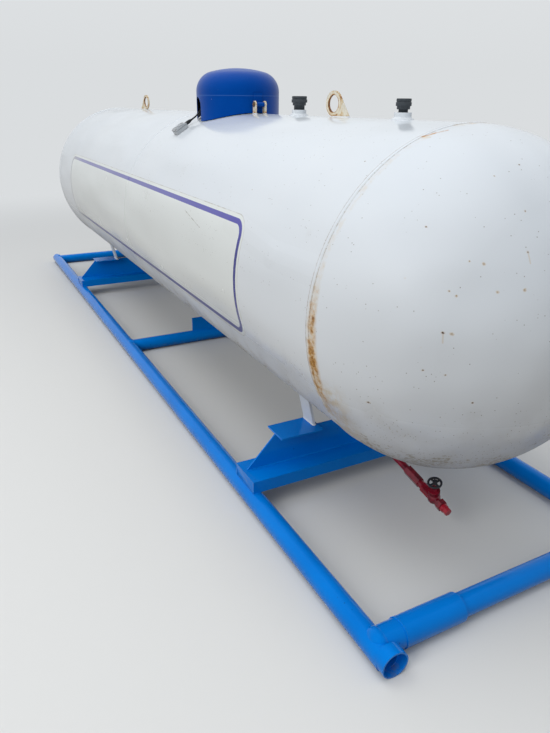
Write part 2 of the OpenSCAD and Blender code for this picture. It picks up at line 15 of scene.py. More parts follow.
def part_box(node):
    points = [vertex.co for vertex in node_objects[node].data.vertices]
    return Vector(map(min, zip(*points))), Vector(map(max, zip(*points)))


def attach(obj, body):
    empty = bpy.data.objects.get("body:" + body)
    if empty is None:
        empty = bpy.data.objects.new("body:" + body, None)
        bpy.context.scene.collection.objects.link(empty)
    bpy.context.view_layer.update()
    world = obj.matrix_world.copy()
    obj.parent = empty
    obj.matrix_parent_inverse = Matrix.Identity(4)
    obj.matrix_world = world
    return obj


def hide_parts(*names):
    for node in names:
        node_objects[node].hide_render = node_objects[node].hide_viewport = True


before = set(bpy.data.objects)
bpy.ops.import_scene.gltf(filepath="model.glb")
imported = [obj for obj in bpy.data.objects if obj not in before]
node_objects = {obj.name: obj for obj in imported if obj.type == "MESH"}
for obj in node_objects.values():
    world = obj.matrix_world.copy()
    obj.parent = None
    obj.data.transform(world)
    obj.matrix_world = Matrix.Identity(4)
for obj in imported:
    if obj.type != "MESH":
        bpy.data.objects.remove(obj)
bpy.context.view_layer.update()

# %% [markdown]
# The main sizes of the tank, in metres, are read from the solids where they can
# be, so that everything added here sits where the steel is.

# %% Sizes that the added pieces share
shell_low, shell_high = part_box("tank_shell")
TANK_R = (shell_high.y - shell_low.y) / 2
TANK_Z = (shell_high.z + shell_low.z) / 2
CROWN_Z = shell_high.z
BELLY_Z = shell_low.z
NEAR_SEAM_X = shell_high.x
FAR_SEAM_X = shell_low.x
MIDDLE_SEAM_X = (shell_high.x + shell_low.x) / 2
print("shell radius %.4f, axis height %.4f, near seam at x %.3f" % (TANK_R, TANK_Z, NEAR_SEAM_X))

# %% [markdown]
# ## Camera
# The photograph was taken at eye height, close to the near corner of the skid,
# with the phone tipped down by 23 degrees. The camera is placed from those
# angles. A long lens would flatten the tank, so the wide one is kept.

# %% Camera
CAMERA_AT = Vector((3.4554, -1.3403, 1.3893))
PITCH, YAW, ROLL = math.radians(23.1749), math.radians(62.4559), math.radians(0.5)
# The lens and the photograph's height in pixels, and the height of the film in millimetres
FOCAL_PX, PHOTO_PX, FILM_MM = 615.0975, 733, 36

back = Vector((math.sin(YAW) * math.cos(PITCH), -math.cos(YAW) * math.cos(PITCH), math.sin(PITCH)))
right = (-back).cross(Vector((0, 0, 1))).normalized()
up = right.cross(-back)
rolled_right = right * math.cos(ROLL) + up * math.sin(ROLL)
rolled_up = up * math.cos(ROLL) - right * math.sin(ROLL)

camera_data = bpy.data.cameras.new("camera")
camera_data.sensor_width = FILM_MM
camera_data.lens = FOCAL_PX / PHOTO_PX * FILM_MM
camera_data.clip_end = 200
camera = bpy.data.objects.new("camera", camera_data)
turn = Matrix((rolled_right, rolled_up, back)).transposed().to_4x4()
camera.matrix_world = Matrix.Translation(CAMERA_AT) @ turn
bpy.context.scene.collection.objects.link(camera)
bpy.context.scene.camera = camera
print("lens %.2f mm, looking along %s" % (camera_data.lens, [round(v, 3) for v in -back]))

# %% [markdown]
# ## The monitor's lead
# A short black lead, 8 mm thick, leaves the plug on the monitor box, rises
# through the arch in the hood and ends in the float gauge's dial. It is stiff
# for its length, so it springs in one bow between its two ends. A curve with a
# round bevel, made into a mesh, keeps that bow smooth, where the solid is faceted.

# %% Where the lead starts and ends
BOX_AT, BOX_TURN = MIDDLE_SEAM_X + 0.290, math.radians(32.5)
PLUG_FOOT, PLUG_LENGTH, PLUG_LIFT = 0.0328, 0.040, 0.014
LEAD_D = 0.008
HOOD_X = MIDDLE_SEAM_X + 0.335
# The four ports stand on a ring of 92 mm, on its diagonals
PORT_STEP = 0.092 * math.sin(math.radians(45))
GAUGE_AT = Vector((HOOD_X - PORT_STEP, -PORT_STEP, CROWN_Z + 0.0543))
GAUGE_TURN, DIAL_R = math.radians(12), 0.0243


def plug_point(along):
    """Point on the plug's centre line, this far past its end."""
    reach, out = PLUG_FOOT + PLUG_LENGTH + along, TANK_R + PLUG_LIFT
    return Vector((BOX_AT, reach * math.cos(BOX_TURN) - out * math.sin(BOX_TURN),
                   TANK_Z + reach * math.sin(BOX_TURN) + out * math.cos(BOX_TURN)))


def dial_point(along):
    """Point level with the gauge's dial, this far from its side."""
    return GAUGE_AT - Vector((math.sin(GAUGE_TURN), math.cos(GAUGE_TURN), 0)) * (DIAL_R + along)


def bow(t):
    """Point at share t of the smooth bow between plug and dial."""
    a, b, c, d = plug_point(0.014), plug_point(0.059), dial_point(0.055), dial_point(0.010)
    return (1 - t) ** 3 * a + 3 * t * (1 - t) ** 2 * b + 3 * t * t * (1 - t) * c + t ** 3 * d


lead_points = [plug_point(0.0003)] + [bow(i / 24) for i in range(25)] + [dial_point(0.0)]


# %% Lead
def mesh_of(curve):
    """The mesh of a bevelled curve, which isn't needed after it."""
    laid = bpy.data.objects.new(curve.name, curve)
    mesh = bpy.data.meshes.new_from_object(laid)
    bpy.data.objects.remove(laid)
    bpy.data.curves.remove(curve)
    return mesh


lead_curve = bpy.data.curves.new("monitor_lead_jacket", "CURVE")
lead_curve.dimensions = "3D"
lead_curve.bevel_depth = LEAD_D / 2
lead_curve.bevel_resolution = 4
lead_spline = lead_curve.splines.new("POLY")
lead_spline.points.add(len(lead_points) - 1)
for spline_point, at in zip(lead_spline.points, lead_points):
    spline_point.co = (*at, 1)
lead_mesh = mesh_of(lead_curve)
lead_mesh.shade_smooth()
lead = bpy.data.objects.new("monitor_lead_jacket", lead_mesh)
bpy.context.scene.collection.objects.link(lead)
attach(lead, "tank_on_skid")
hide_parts("monitor_lead")
print("lead laid with %d points" % len(lead_points))

# %% [markdown]
# ## Light and floor
# Colours are written as the hex values that a paint chart would give, and one
# function turns them into the linear values that the shaders work in. Another
# adds one node. Its inputs follow in their order, or by name, so that each
# material below reads as a list of what it is made of. A Map Range has its input,
# the two values that it starts and ends at, and the two that it turns them into.

# %% Colour and node helpers
def paint(hex_code):
    """Linear colour from an sRGB hex code."""
    channels = [int(hex_code[i:i + 2], 16) / 255 for i in (1, 3, 5)]
    return (*(c / 12.92 if c <= 0.04045 else ((c + 0.055) / 1.055) ** 2.4 for c in channels), 1.0)


def feed(tree, node, *values, **named):
    """Link or set the inputs of a node, in their order or by their names in lower case."""
    sockets = [socket for socket in node.inputs if socket.enabled]
    by_name = {socket.name.lower().replace(" ", "_"): socket for socket in sockets}
    for socket, value in [*zip(sockets, values), *((by_name[name], named[name]) for name in named)]:
        if isinstance(value, bpy.types.Node):
            value = next(output for output in value.outputs if output.enabled)
        if isinstance(value, bpy.types.NodeSocket):
            tree.links.new(value, socket)
        else:
            socket.default_value = paint(value) if isinstance(value, str) else value


def add(tree, kind, *values, **named):
    """Add one node with its inputs; a name that no input has is a setting of the node."""
    node = tree.nodes.new("ShaderNode" + kind)
    inputs = {socket.name.lower().replace(" ", "_") for socket in node.inputs}
    for name in [name for name in named if name not in inputs]:
        setattr(node, name, named.pop(name))
    feed(tree, node, *values, **named)
    return node


def set_stops(ramp, *stops):
    """Give a colour ramp its stops in rising order, each a place and a colour or a grey."""
    elements = ramp.color_ramp.elements
    elements.remove(elements[1])
    elements[0].position = stops[0][0]
    for share, _ in stops[1:]:
        elements.new(share)
    for element, (_, tone) in zip(elements, stops):
        element.color = paint(tone) if isinstance(tone, str) else (tone, tone, tone, 1)


def seen_rays(tree):
    """1 for what is seen directly, in a mirror or through glass, and 0 for what only lights."""
    rays = add(tree, "LightPath").outputs
    seen = add(tree, "Math", rays["Is Camera Ray"], rays["Is Glossy Ray"], operation="MAXIMUM")
    return add(tree, "Math", seen, rays["Is Transmission Ray"], operation="MAXIMUM")


def apart(tree, value, middle):
    """How far a value lies from a middle one, either way."""
    gap = add(tree, "Math", value, middle, operation="SUBTRACT")
    return add(tree, "Math", gap, operation="ABSOLUTE")


def specks(tree, place, scale, channel, limit, rim, depth):
    """Dots in those cells of a Voronoi pattern whose random channel is over a limit."""
    cells = add(tree, "TexVoronoi", place, scale=scale)
    pick = add(tree, "SeparateColor", cells.outputs["Color"]).outputs[channel]
    chosen = add(tree, "Math", pick, limit, operation="GREATER_THAN")
    dots = add(tree, "MapRange", cells.outputs["Distance"], *rim, depth, 0.0)
    return add(tree, "Math", chosen, dots, operation="MULTIPLY")


def new_material(name):
    """An empty material with a Principled shader and the object's coordinates."""
    material = bpy.data.materials.new(name)
    material.use_nodes = True
    tree = material.node_tree
    tree.nodes.clear()
    shader = add(tree, "BsdfPrincipled")
    add(tree, "OutputMaterial", shader)
    return material, tree, shader, add(tree, "TexCoord").outputs["Object"]


print("the enamel's white in linear values:", [round(c, 3) for c in paint("#dde1e4")])

# %% [markdown]
# An overcast sky lights the yard from everywhere, a little more from above. A
# pale world does the same here, and one wide lamp overhead gives the soft
# shadow under the tank. What the camera and the reflections see behind the tank
# is a plain pale backdrop, which the floor fades into a few metres away.

# %% World
BACKDROP = paint("#dadddf")
world = bpy.data.worlds.new("overcast")
bpy.context.scene.world = world
world.use_nodes = True
sky = world.node_tree
sky.nodes.clear()
sky_height = add(sky, "SeparateXYZ", add(sky, "TexCoord").outputs["Generated"])
sky_tone = add(sky, "MapRange", sky_height.outputs["Z"], -0.1, 0.9, 0.62, 1.0)
sky_colour = add(sky, "Mix", sky_tone, "#000000", "#e9eff6", data_type="RGBA")
lit_sky = add(sky, "Background", color=sky_colour, strength=0.72)
# The backdrop is a shade paler overhead, which the gloss of the paint picks up
shown_tone = add(sky, "MapRange", sky_height.outputs["Z"], 0.05, 0.75)
shown_colour = add(sky, "Mix", shown_tone, BACKDROP, "#f1f4f7", data_type="RGBA")
shown_sky = add(sky, "Background", color=shown_colour, strength=1.0)
sky_mix = add(sky, "MixShader", seen_rays(sky), lit_sky, shown_sky)
add(sky, "OutputWorld", sky_mix)
print("world ready")


# %% Lamps
def soft_lamp(name, place, target, size, watts):
    """A square lamp that points at its target and shows in no reflection."""
    data = bpy.data.lights.new(name, "AREA")
    data.size = size
    data.energy = watts
    lamp = bpy.data.objects.new(name, data)
    lamp.location = place
    lamp.visible_glossy = False
    lamp.rotation_euler = (Vector(target) - Vector(place)).to_track_quat("-Z", "Y").to_euler()
    bpy.context.scene.collection.objects.link(lamp)


soft_lamp("overhead", (0.5, -1.5, 8.0), (0.2, 0, 0.5), 7.0, 270)
soft_lamp("camera_side", (3.8, -6.8, 4.2), (0.5, 0, 0.7), 4.0, 205)
print("lamps ready")

# %% Floor
floor_bm = bmesh.new()
bmesh.ops.create_grid(floor_bm, x_segments=1, y_segments=1, size=60)
floor_mesh = bpy.data.meshes.new("floor")
floor_bm.to_mesh(floor_mesh)
floor_bm.free()
floor = bpy.data.objects.new("floor", floor_mesh)
bpy.context.scene.collection.objects.link(floor)

floor_material, tree, shader, place = new_material("pale_floor")
seen = seen_rays(tree)
# The eye sees a pale floor, but the light that it throws up is that of bare ground
floor_tone = add(tree, "Mix", seen, "#958c81", "#dddcd9", data_type="RGBA")
feed(tree, shader, base_color=floor_tone, roughness=0.95, specular_ior_level=0.1)
# From 3 to 7.5 m away the floor fades into the backdrop
away = add(tree, "VectorMath", place, operation="LENGTH")
fade = add(tree, "MapRange", away, 3.0, 7.5, interpolation_type="SMOOTHSTEP")
fade = add(tree, "Math", fade, seen, operation="MULTIPLY")
backdrop_glow = add(tree, "Emission", color=BACKDROP, strength=1.0)
floor_mix = add(tree, "MixShader", fade, shader, backdrop_glow)
feed(tree, tree.nodes["Material Output"], floor_mix)
floor_mesh.materials.append(floor_material)
print("floor laid")

# %% [markdown]
# ## The white paint
# Tanks of this kind are sprayed with a gloss white enamel over steel that was
# rolled, welded and shot blasted. The paint ages in four ways, and each is a
# mask of its own: rust creeps from the weld where the near head joins the
# shell, stone chips rust into small dots, the belly collects splash dirt, and
# the wall itself is slightly dented, which shows in the gloss. One material
# with masks keeps shell, heads and weld in step, where three would show a join.

# %% White enamel: where a point lies on the tank
white_enamel, tree, shader, place = new_material("white_enamel_on_steel")
along, across, upwards = add(tree, "SeparateXYZ", place).outputs
rise = add(tree, "Math", upwards, TANK_Z, operation="SUBTRACT")
front = add(tree, "Math", across, -1.0, operation="MULTIPLY")
# Angle round the tank in radians: 0 at the crown, a quarter turn level on the panel's side
round_turn = add(tree, "Math", front, rise, operation="ARCTAN2")
round_share = add(tree, "Math", round_turn, math.pi, operation="DIVIDE")
round_share = add(tree, "Math", round_share, operation="ABSOLUTE")
# Metres round the shell, from the level line on the panel's side, upwards
arc = add(tree, "Math", round_turn, -TANK_R, math.pi / 2 * TANK_R, operation="MULTIPLY_ADD")
seam_off = add(tree, "Math", along, NEAR_SEAM_X, operation="SUBTRACT")
from_axis = add(tree, "CombineXYZ", y=across, z=rise)
from_axis = add(tree, "VectorMath", from_axis, operation="LENGTH")
# 1 on the tank's own wall, 0 on the legs and on what stands above the crown
on_wall = add(tree, "MapRange", from_axis, TANK_R + 0.002, TANK_R + 0.005, 1.0, 0.0)
print("coordinates ready")

# %% White enamel: rust along the near seam
# How much rust the seam shows at each share of the half turn from crown to belly: a
# blob at 20 degrees and the heavy band from 75 to 118 degrees, where splashes reach
seam_rust = add(tree, "ValToRGB", round_share)
set_stops(seam_rust, (0.0, 0.50), (0.015, 0.66), (0.047, 0.62), (0.060, 0.40), (0.104, 0.42), (0.117, 0.76),
          (0.130, 0.40), (0.200, 0.46), (0.32, 0.50), (0.395, 0.50), (0.425, 0.62), (0.50, 0.80),
          (0.565, 0.88), (0.63, 0.80), (0.68, 0.46), (0.75, 0.28), (1.0, 0.08))
rust_level = add(tree, "SeparateColor", seam_rust).outputs["Red"]

edge_noise = add(tree, "TexNoise", place, scale=34.0, detail=6.0, roughness=0.65)
fine_noise = add(tree, "TexNoise", place, scale=150.0, detail=4.0, roughness=0.7)
# The stain lies on the head's side of the weld and widens with the rust, to 34 mm either way
stain_gap = apart(tree, seam_off, 0.02)
stain_width = add(tree, "MapRange", rust_level, 0.3, 0.9, 0.006, 0.034)
stain_share = add(tree, "Math", stain_gap, stain_width, operation="DIVIDE")
stain_fall = add(tree, "MapRange", stain_share, 0.25, 1.0, 1.0, 0.0, interpolation_type="SMOOTHSTEP")
stain_sum = add(tree, "Math", edge_noise, rust_level, operation="ADD")
stain_cut = add(tree, "MapRange", stain_sum, 1.18, 1.44, 0.0, 0.95)
seam_stain = add(tree, "Math", stain_fall, stain_cut, operation="MULTIPLY")
# A yellow tint spreads a little further than the rust itself
tint_cut = add(tree, "MapRange", stain_sum, 0.92, 1.4, 0.0, 0.55)
seam_tint = add(tree, "Math", stain_fall, tint_cut, operation="MULTIPLY")

# A brown hairline at each toe of the weld, broken into dots where the rust is slight
toe_gap = add(tree, "Math", seam_off, operation="ABSOLUTE")
toe_gap = apart(tree, toe_gap, 0.0085)
toe_line = add(tree, "MapRange", toe_gap, 0.0004, 0.0028, 1.0, 0.0)
toe_sum = add(tree, "Math", edge_noise, rust_level, 0.12, operation="MULTIPLY_ADD")
toe_sum = add(tree, "Math", toe_sum, fine_noise, operation="ADD")
toe_cut = add(tree, "MapRange", toe_sum, 0.8, 1.15, 0.1, 0.9)
toe_rust = add(tree, "Math", toe_line, toe_cut, operation="MULTIPLY")
print("seam rust ready")


# %% White enamel: scratches
def scratch(tree, spot, start, end, width):
    """Mask of a straight scratch between two points, in the units of spot."""
    start, end = Vector(start), Vector(end)
    run = end - start
    reach = add(tree, "VectorMath", spot, start, operation="SUBTRACT")
    share = add(tree, "VectorMath", reach, run / run.length_squared, operation="DOT_PRODUCT")
    share = add(tree, "Clamp", share)
    foot = add(tree, "VectorMath", run, share, operation="SCALE")
    gap = add(tree, "VectorMath", reach, foot, operation="DISTANCE")
    return add(tree, "MapRange", gap, width * 0.4, width, 1.0, 0.0)


# One rusts from the blob on the shoulder on to the head, the other crosses the panel
around = add(tree, "Math", round_turn, TANK_R, operation="MULTIPLY")
unrolled = add(tree, "CombineXYZ", x=seam_off, y=around)
shoulder_scratch = scratch(tree, unrolled, (0.008, 0.193, 0), (0.036, 0.131, 0), 0.007)
scratch_cut = add(tree, "MapRange", edge_noise, 0.38, 0.58)
shoulder_scratch = add(tree, "Math", shoulder_scratch, scratch_cut, operation="MULTIPLY")
# The wall unrolled: metres along the tank and metres round it
flat_wall = add(tree, "CombineXYZ", x=along, y=arc)
panel_scratch = scratch(tree, flat_wall, (1.03, 0.167, 0), (1.22, 0.128, 0), 0.002)
panel_scratch = add(tree, "Math", panel_scratch, scratch_cut, operation="MULTIPLY")
print("scratches ready")

# %% [markdown]
# Stone chips come in two kinds. Random ones, from a Voronoi pattern, pepper all
# the wall. The larger ones on the near head are where they are on the real one:
# each is a dot around a point of the head, seen along the tank.

# %% White enamel: stone chips
chips = add(tree, "TexVoronoi", place, scale=15.0, randomness=1.0)
chip_pick = add(tree, "SeparateColor", chips.outputs["Color"])
chip_size = add(tree, "MapRange", chip_pick.outputs["Red"], 0.62, 1.0, 0.0, 0.046)
chip_edge = add(tree, "Math", chip_size, chips.outputs["Distance"], operation="SUBTRACT")
chip_dots = add(tree, "MapRange", chip_edge, 0.0, 0.016, 0.0, 0.9)
halo_dots = add(tree, "MapRange", chip_edge, -0.03, 0.02, 0.0, 0.22)

seen_along = add(tree, "CombineXYZ", y=across, z=upwards)
on_head = add(tree, "Math", along, NEAR_SEAM_X + 0.02, operation="GREATER_THAN")
# Place across and up, radius in mm, and how much of it is yellow stain and not bare rust
head_chips = (
    (-0.165, 1.076, 2.6, 0.2), (-0.140, 1.161, 2.0, 0.3), (-0.342, 1.122, 1.8, 0.1),
    (-0.264, 1.051, 2.6, 0.7), (-0.290, 1.056, 1.8, 0.5), (-0.337, 0.989, 2.2, 0.4),
    (-0.326, 0.979, 2.2, 0.7), (-0.187, 0.995, 3.0, 0.7), (-0.246, 0.991, 2.6, 0.7),
    (-0.354, 0.892, 3.0, 0.0), (-0.338, 0.891, 3.2, 0.7), (-0.383, 0.793, 2.2, 0.1),
    (-0.343, 0.786, 2.2, 0.2), (-0.446, 0.664, 2.6, 0.1), (-0.274, 0.711, 2.2, 0.1),
    (-0.165, 1.233, 1.6, 0.2))
rust_spots, yellow_spots = chip_dots, halo_dots
# A dot's edge is ragged by 1.5 mm either way
ragged = add(tree, "Math", fine_noise, 0.5, operation="SUBTRACT")
for chip_y, chip_z, radius, yellow in head_chips:
    gap = add(tree, "VectorMath", seen_along, (0, chip_y, chip_z), operation="DISTANCE")
    gap = add(tree, "Math", ragged, 0.006, gap, operation="MULTIPLY_ADD")
    for share, grow in ((1 - yellow, 1.0), (0.30 + 0.35 * yellow, 1.7)):
        rim = radius / 1000 * grow
        dot = add(tree, "MapRange", gap, rim * 0.45, rim, share, 0.0)
        dot = add(tree, "Math", dot, on_head, operation="MULTIPLY")
        if grow == 1.0:
            rust_spots = add(tree, "Math", rust_spots, dot, operation="MAXIMUM")
        else:
            yellow_spots = add(tree, "Math", yellow_spots, dot, operation="MAXIMUM")
# The two deepest chips have wept a thin run of rust
for chip_y, chip_z in ((-0.165, 1.076), (-0.354, 0.892)):
    run = scratch(tree, seen_along, (0, chip_y, chip_z), (0, chip_y, chip_z - 0.024), 0.0022)
    run = add(tree, "Math", run, on_head, operation="MULTIPLY")
    run = add(tree, "Math", run, 0.32, operation="MULTIPLY")
    yellow_spots = add(tree, "Math", yellow_spots, run, operation="MAXIMUM")
print("chips placed:", len(head_chips))

# %% White enamel: splash dirt
# Freckles 2 to 3 mm across, 8 mm apart, thin out with height; under them the wall turns a patchy grey, darker
# towards the bottom
splash_noise = add(tree, "TexNoise", place, scale=9.0, detail=3.0)
splash_height = add(tree, "MapRange", upwards, BELLY_Z, BELLY_Z + 0.42, 0.55, -0.25)
splash_sum = add(tree, "Math", splash_height, splash_noise, operation="ADD")
splash_limit = add(tree, "Math", 1.2, splash_sum, operation="SUBTRACT")
freckles = specks(tree, place, 120.0, "Green", splash_limit, (0.1, 0.22), 0.75)
freckles = add(tree, "Math", freckles, on_wall, operation="MULTIPLY")
low_grey_patches = add(tree, "MapRange", splash_sum, 0.42, 1.05, 0.0, 0.5)
low_grey_patches = add(tree, "Math", low_grey_patches, on_wall, operation="MULTIPLY")
# Below the heavy band the seam has dribbled a yellow stain on to the head
dribble = add(tree, "MapRange", seam_off, 0.07, 0.14, 1.0, 0.0)
dribble_side = add(tree, "Math", seam_off, -0.004, operation="GREATER_THAN")
dribble_turn = add(tree, "MapRange", round_share, 0.585, 0.62)
dribble_end = add(tree, "MapRange", round_share, 0.68, 0.8, 1.0, 0.0)
dribble_cut = add(tree, "MapRange", edge_noise, 0.38, 0.58)
for mask in (dribble_side, dribble_turn, dribble_end, dribble_cut, 0.60):
    dribble = add(tree, "Math", dribble, mask, operation="MULTIPLY")
# Splashes larger than freckles, 5 to 15 mm across, gather low on the tank
splash_patch = add(tree, "TexNoise", place, scale=85.0, detail=3.0, roughness=0.6)
splash_level = add(tree, "MapRange", splash_sum, 0.35, 0.85, -0.3, 0.11)
splash_patch = add(tree, "Math", splash_patch, splash_level, operation="ADD")
splashes = add(tree, "MapRange", splash_patch, 0.57, 0.66, 0.0, 0.55)
splashes = add(tree, "Math", splashes, on_wall, operation="MULTIPLY")
print("dirt ready")

# %% [markdown]
# The long panel on the side is a printed film, a tenth of a millimetre thick, so
# it is part of the paint here and not a sheet of its own: nothing can lift or
# flicker. Its edge is the usual formula for a rounded box, worked out in metres
# on the unrolled wall. The film is bare but for its plain two-tone border.

# %% White enamel: the film panel and its border
PANEL_MIDDLE, PANEL_HALF, CORNER_R = Vector((0.110, 0.0046, 0)), Vector((1.475, 0.2085, 0)), 0.060
from_middle = add(tree, "VectorMath", flat_wall, PANEL_MIDDLE, operation="SUBTRACT")
from_middle = add(tree, "VectorMath", from_middle, operation="ABSOLUTE")
straight_half = PANEL_HALF - Vector((CORNER_R, CORNER_R, 0))
past_straight = add(tree, "VectorMath", from_middle, straight_half, operation="SUBTRACT")
past_straight = add(tree, "VectorMath", past_straight, (0, 0, 0), operation="MAXIMUM")
panel_edge = add(tree, "VectorMath", past_straight, operation="LENGTH")
panel_edge = add(tree, "Math", panel_edge, CORNER_R, operation="SUBTRACT")
on_film = add(tree, "Math", panel_edge, 0.014, operation="LESS_THAN")
film_here = add(tree, "Math", on_film, on_wall, operation="MULTIPLY")
# The stripe is 20 mm wide; its edge is a little worn
worn_edge = add(tree, "Math", fine_noise, 0.002, -0.001, operation="MULTIPLY_ADD")
worn_edge = add(tree, "Math", panel_edge, worn_edge, operation="ADD")
stripe_middle = add(tree, "Math", worn_edge, 0.01, operation="ADD")
stripe_middle = add(tree, "Math", stripe_middle, operation="ABSOLUTE")
stripe = add(tree, "MapRange", stripe_middle, 0.0092, 0.0105, 1.0, 0.0)
stripe = add(tree, "Math", stripe, on_wall, operation="MULTIPLY")
# The sun has bleached the upper stripe from navy to violet, and to grey at the far end
bleach_up = add(tree, "MapRange", arc, 0.1, 0.19)
bleach_far = add(tree, "MapRange", along, 1.5, -1.2)
violet = add(tree, "Mix", bleach_far, "#4c49a4", "#8182b2", data_type="RGBA")
stripe_tone = add(tree, "Mix", bleach_up, "#24247c", violet, data_type="RGBA")
bleach_end = add(tree, "MapRange", along, -1.05, -1.32)
stripe_tone = add(tree, "Mix", bleach_end, stripe_tone, "#a4a5ae", data_type="RGBA")
# Dirt has gathered on the film's edge, and below the lower stripe it is scuffed
film_lip = add(tree, "MapRange", apart(tree, panel_edge, 0.0145), 0.0006, 0.0022, 1.0, 0.0)
lip_cut = add(tree, "MapRange", edge_noise, 0.4, 0.62, 0.12, 0.6)
film_dirt = add(tree, "Math", film_lip, lip_cut, operation="MULTIPLY")
film_dirt = add(tree, "Math", film_dirt, on_wall, operation="MULTIPLY")
scuff_place = add(tree, "Mapping", flat_wall, scale=(6.0, 60.0, 1.0))
scuff_noise = add(tree, "TexNoise", scuff_place, scale=1.0, detail=6.0, roughness=0.7)
scuff_low = add(tree, "MapRange", arc, -0.15, -0.215)
scuff_cut = add(tree, "MapRange", scuff_noise, 0.48, 0.68, 0.0, 0.55)
scuffs = add(tree, "Math", scuff_low, scuff_cut, operation="MULTIPLY")
scuffs = add(tree, "Math", scuffs, film_here, operation="MULTIPLY")
print("film panel ready")

# %% White enamel: put the layers together
slow_tone = add(tree, "TexNoise", place, scale=2.2, detail=2.0)
wall_colour = add(tree, "Mix", slow_tone, "#d4dae0", "#dde1e4", data_type="RGBA")
# Rust is brown in patches 10 to 20 mm across, orange round them and tan where it is thin
rust_patch = add(tree, "Mix", 0.55, fine_noise, edge_noise, data_type="FLOAT")
rust_tone = add(tree, "ValToRGB", rust_patch)
set_stops(rust_tone, (0.40, "#dcc694"), (0.51, "#bd8a40"), (0.62, "#82531f"))
# From the bottom up; a higher layer covers what is under it
layers = ((film_here, "#dde1df"), (low_grey_patches, "#a8a59c"), (stripe, stripe_tone), (scuffs, "#77746c"),
          (film_dirt, "#8a7c58"), (splashes, "#8f8160"), (freckles, "#6d675a"), (dribble, "#c0a668"),
          (yellow_spots, "#c6a568"), (panel_scratch, "#9a988f"), (seam_tint, "#cdb078"),
          (toe_rust, "#8a6538"), (seam_stain, rust_tone), (shoulder_scratch, "#b98040"),
          (rust_spots, "#4f3019"))
for mask, tone in layers:
    wall_colour = add(tree, "Mix", mask, wall_colour, tone, data_type="RGBA")
print("layers of the wall:", len(layers))

# %% White enamel: gloss and relief
# Fresh enamel is glossy, the film a little less, rust is dull
dull = add(tree, "Math", low_grey_patches, 1.8, operation="MULTIPLY", use_clamp=True)
dull = add(tree, "Math", seam_stain, dull, operation="MAXIMUM")
# Spray from the wheels of passing plant has matted the belly all over
matted = add(tree, "MapRange", upwards, BELLY_Z + 0.1, BELLY_Z + 0.4, 0.85, 0.0)
dull = add(tree, "Math", matted, dull, operation="MAXIMUM")
enamel_rough = add(tree, "MapRange", film_here, 0.0, 1.0, 0.14, 0.22)
rough = add(tree, "Mix", dull, enamel_rough, 0.75, data_type="FLOAT")
mirror = add(tree, "MapRange", dull, 0.0, 1.0, 0.5, 0.1)

# Long shallow dents and one crease, under orange peel of about 3 mm; rust stands proud
dent_place = add(tree, "Mapping", place, scale=(0.35, 1.0, 1.0))
dents = add(tree, "TexNoise", dent_place, scale=4.2, detail=1.0, roughness=0.4)
for start, end in (((1.46, 0.196, 0), (1.81, 0.148, 0)), ((1.81, 0.148, 0), (2.05, 0.152, 0))):
    crease = scratch(tree, flat_wall, start, end, 0.045)
    dents = add(tree, "Math", crease, 0.04, dents, operation="MULTIPLY_ADD")
dent_bump = add(tree, "Bump", strength=0.7, distance=0.04, height=dents)
peel = add(tree, "TexNoise", place, scale=320.0, detail=2.0)
peel_bump = add(tree, "Bump", strength=0.035, distance=0.001, height=peel, normal=dent_bump)
scale_height = add(tree, "Math", seam_stain, fine_noise, operation="MULTIPLY")
scale_bump = add(tree, "Bump", strength=0.5, distance=0.002, height=scale_height, normal=peel_bump)
feed(tree, shader, base_color=wall_colour, roughness=rough, specular_ior_level=mirror, normal=scale_bump)
print("white enamel: %d nodes" % len(tree.nodes))

# %% [markdown]
# ## The skid's blue
# The skid is sprayed in a thick gloss blue machine enamel, over mill scale and
# weld spatter. It hardly varies, so its look comes from the gloss: sharp sky
# lights along the tubes and near black in the shade. A weak, smooth mottle and a
# slight sag of the coat are enough. Dried mud stays within 40 mm of the ground.

# %% Skid blue
skid_blue, tree, shader, place = new_material("blue_gloss_enamel")
height = add(tree, "SeparateXYZ", place).outputs["Z"]
coat_tone = add(tree, "TexNoise", place, scale=5.0, detail=4.0, roughness=0.5)
coat = add(tree, "Mix", coat_tone, "#006ec8", "#0084e6", data_type="RGBA")
mud_patch = add(tree, "TexNoise", place, scale=55.0, detail=8.0, roughness=0.7)
mud_height = add(tree, "MapRange", height, 0.0, 0.04, 0.6, 0.0)
mud_cut = add(tree, "MapRange", mud_patch, 0.48, 0.66)
mud = add(tree, "Math", mud_height, mud_cut, operation="MULTIPLY")
skid_tone = add(tree, "Mix", mud, coat, "#6f675b", data_type="RGBA")
# Spatter and knocks: dark blue specks 3 to 7 mm across
knocks = specks(tree, place, 34.0, "Red", 0.72, (0.05, 0.12), 0.55)
skid_tone = add(tree, "Mix", knocks, skid_tone, "#0b2f5c", data_type="RGBA")
gloss = add(tree, "MapRange", coat_tone, 0.3, 0.7, 0.12, 0.22)
gloss = add(tree, "Mix", mud, gloss, 0.8, data_type="FLOAT")
sag = add(tree, "TexNoise", place, scale=45.0, detail=3.0)
sag_bump = add(tree, "Bump", strength=0.08, distance=0.004, height=sag)
# Thick blue enamel gives back the sky in blue and not in white
feed(tree, shader, base_color=skid_tone, roughness=gloss, specular_tint="#3fa4f4", normal=sag_bump)
print("skid blue ready")
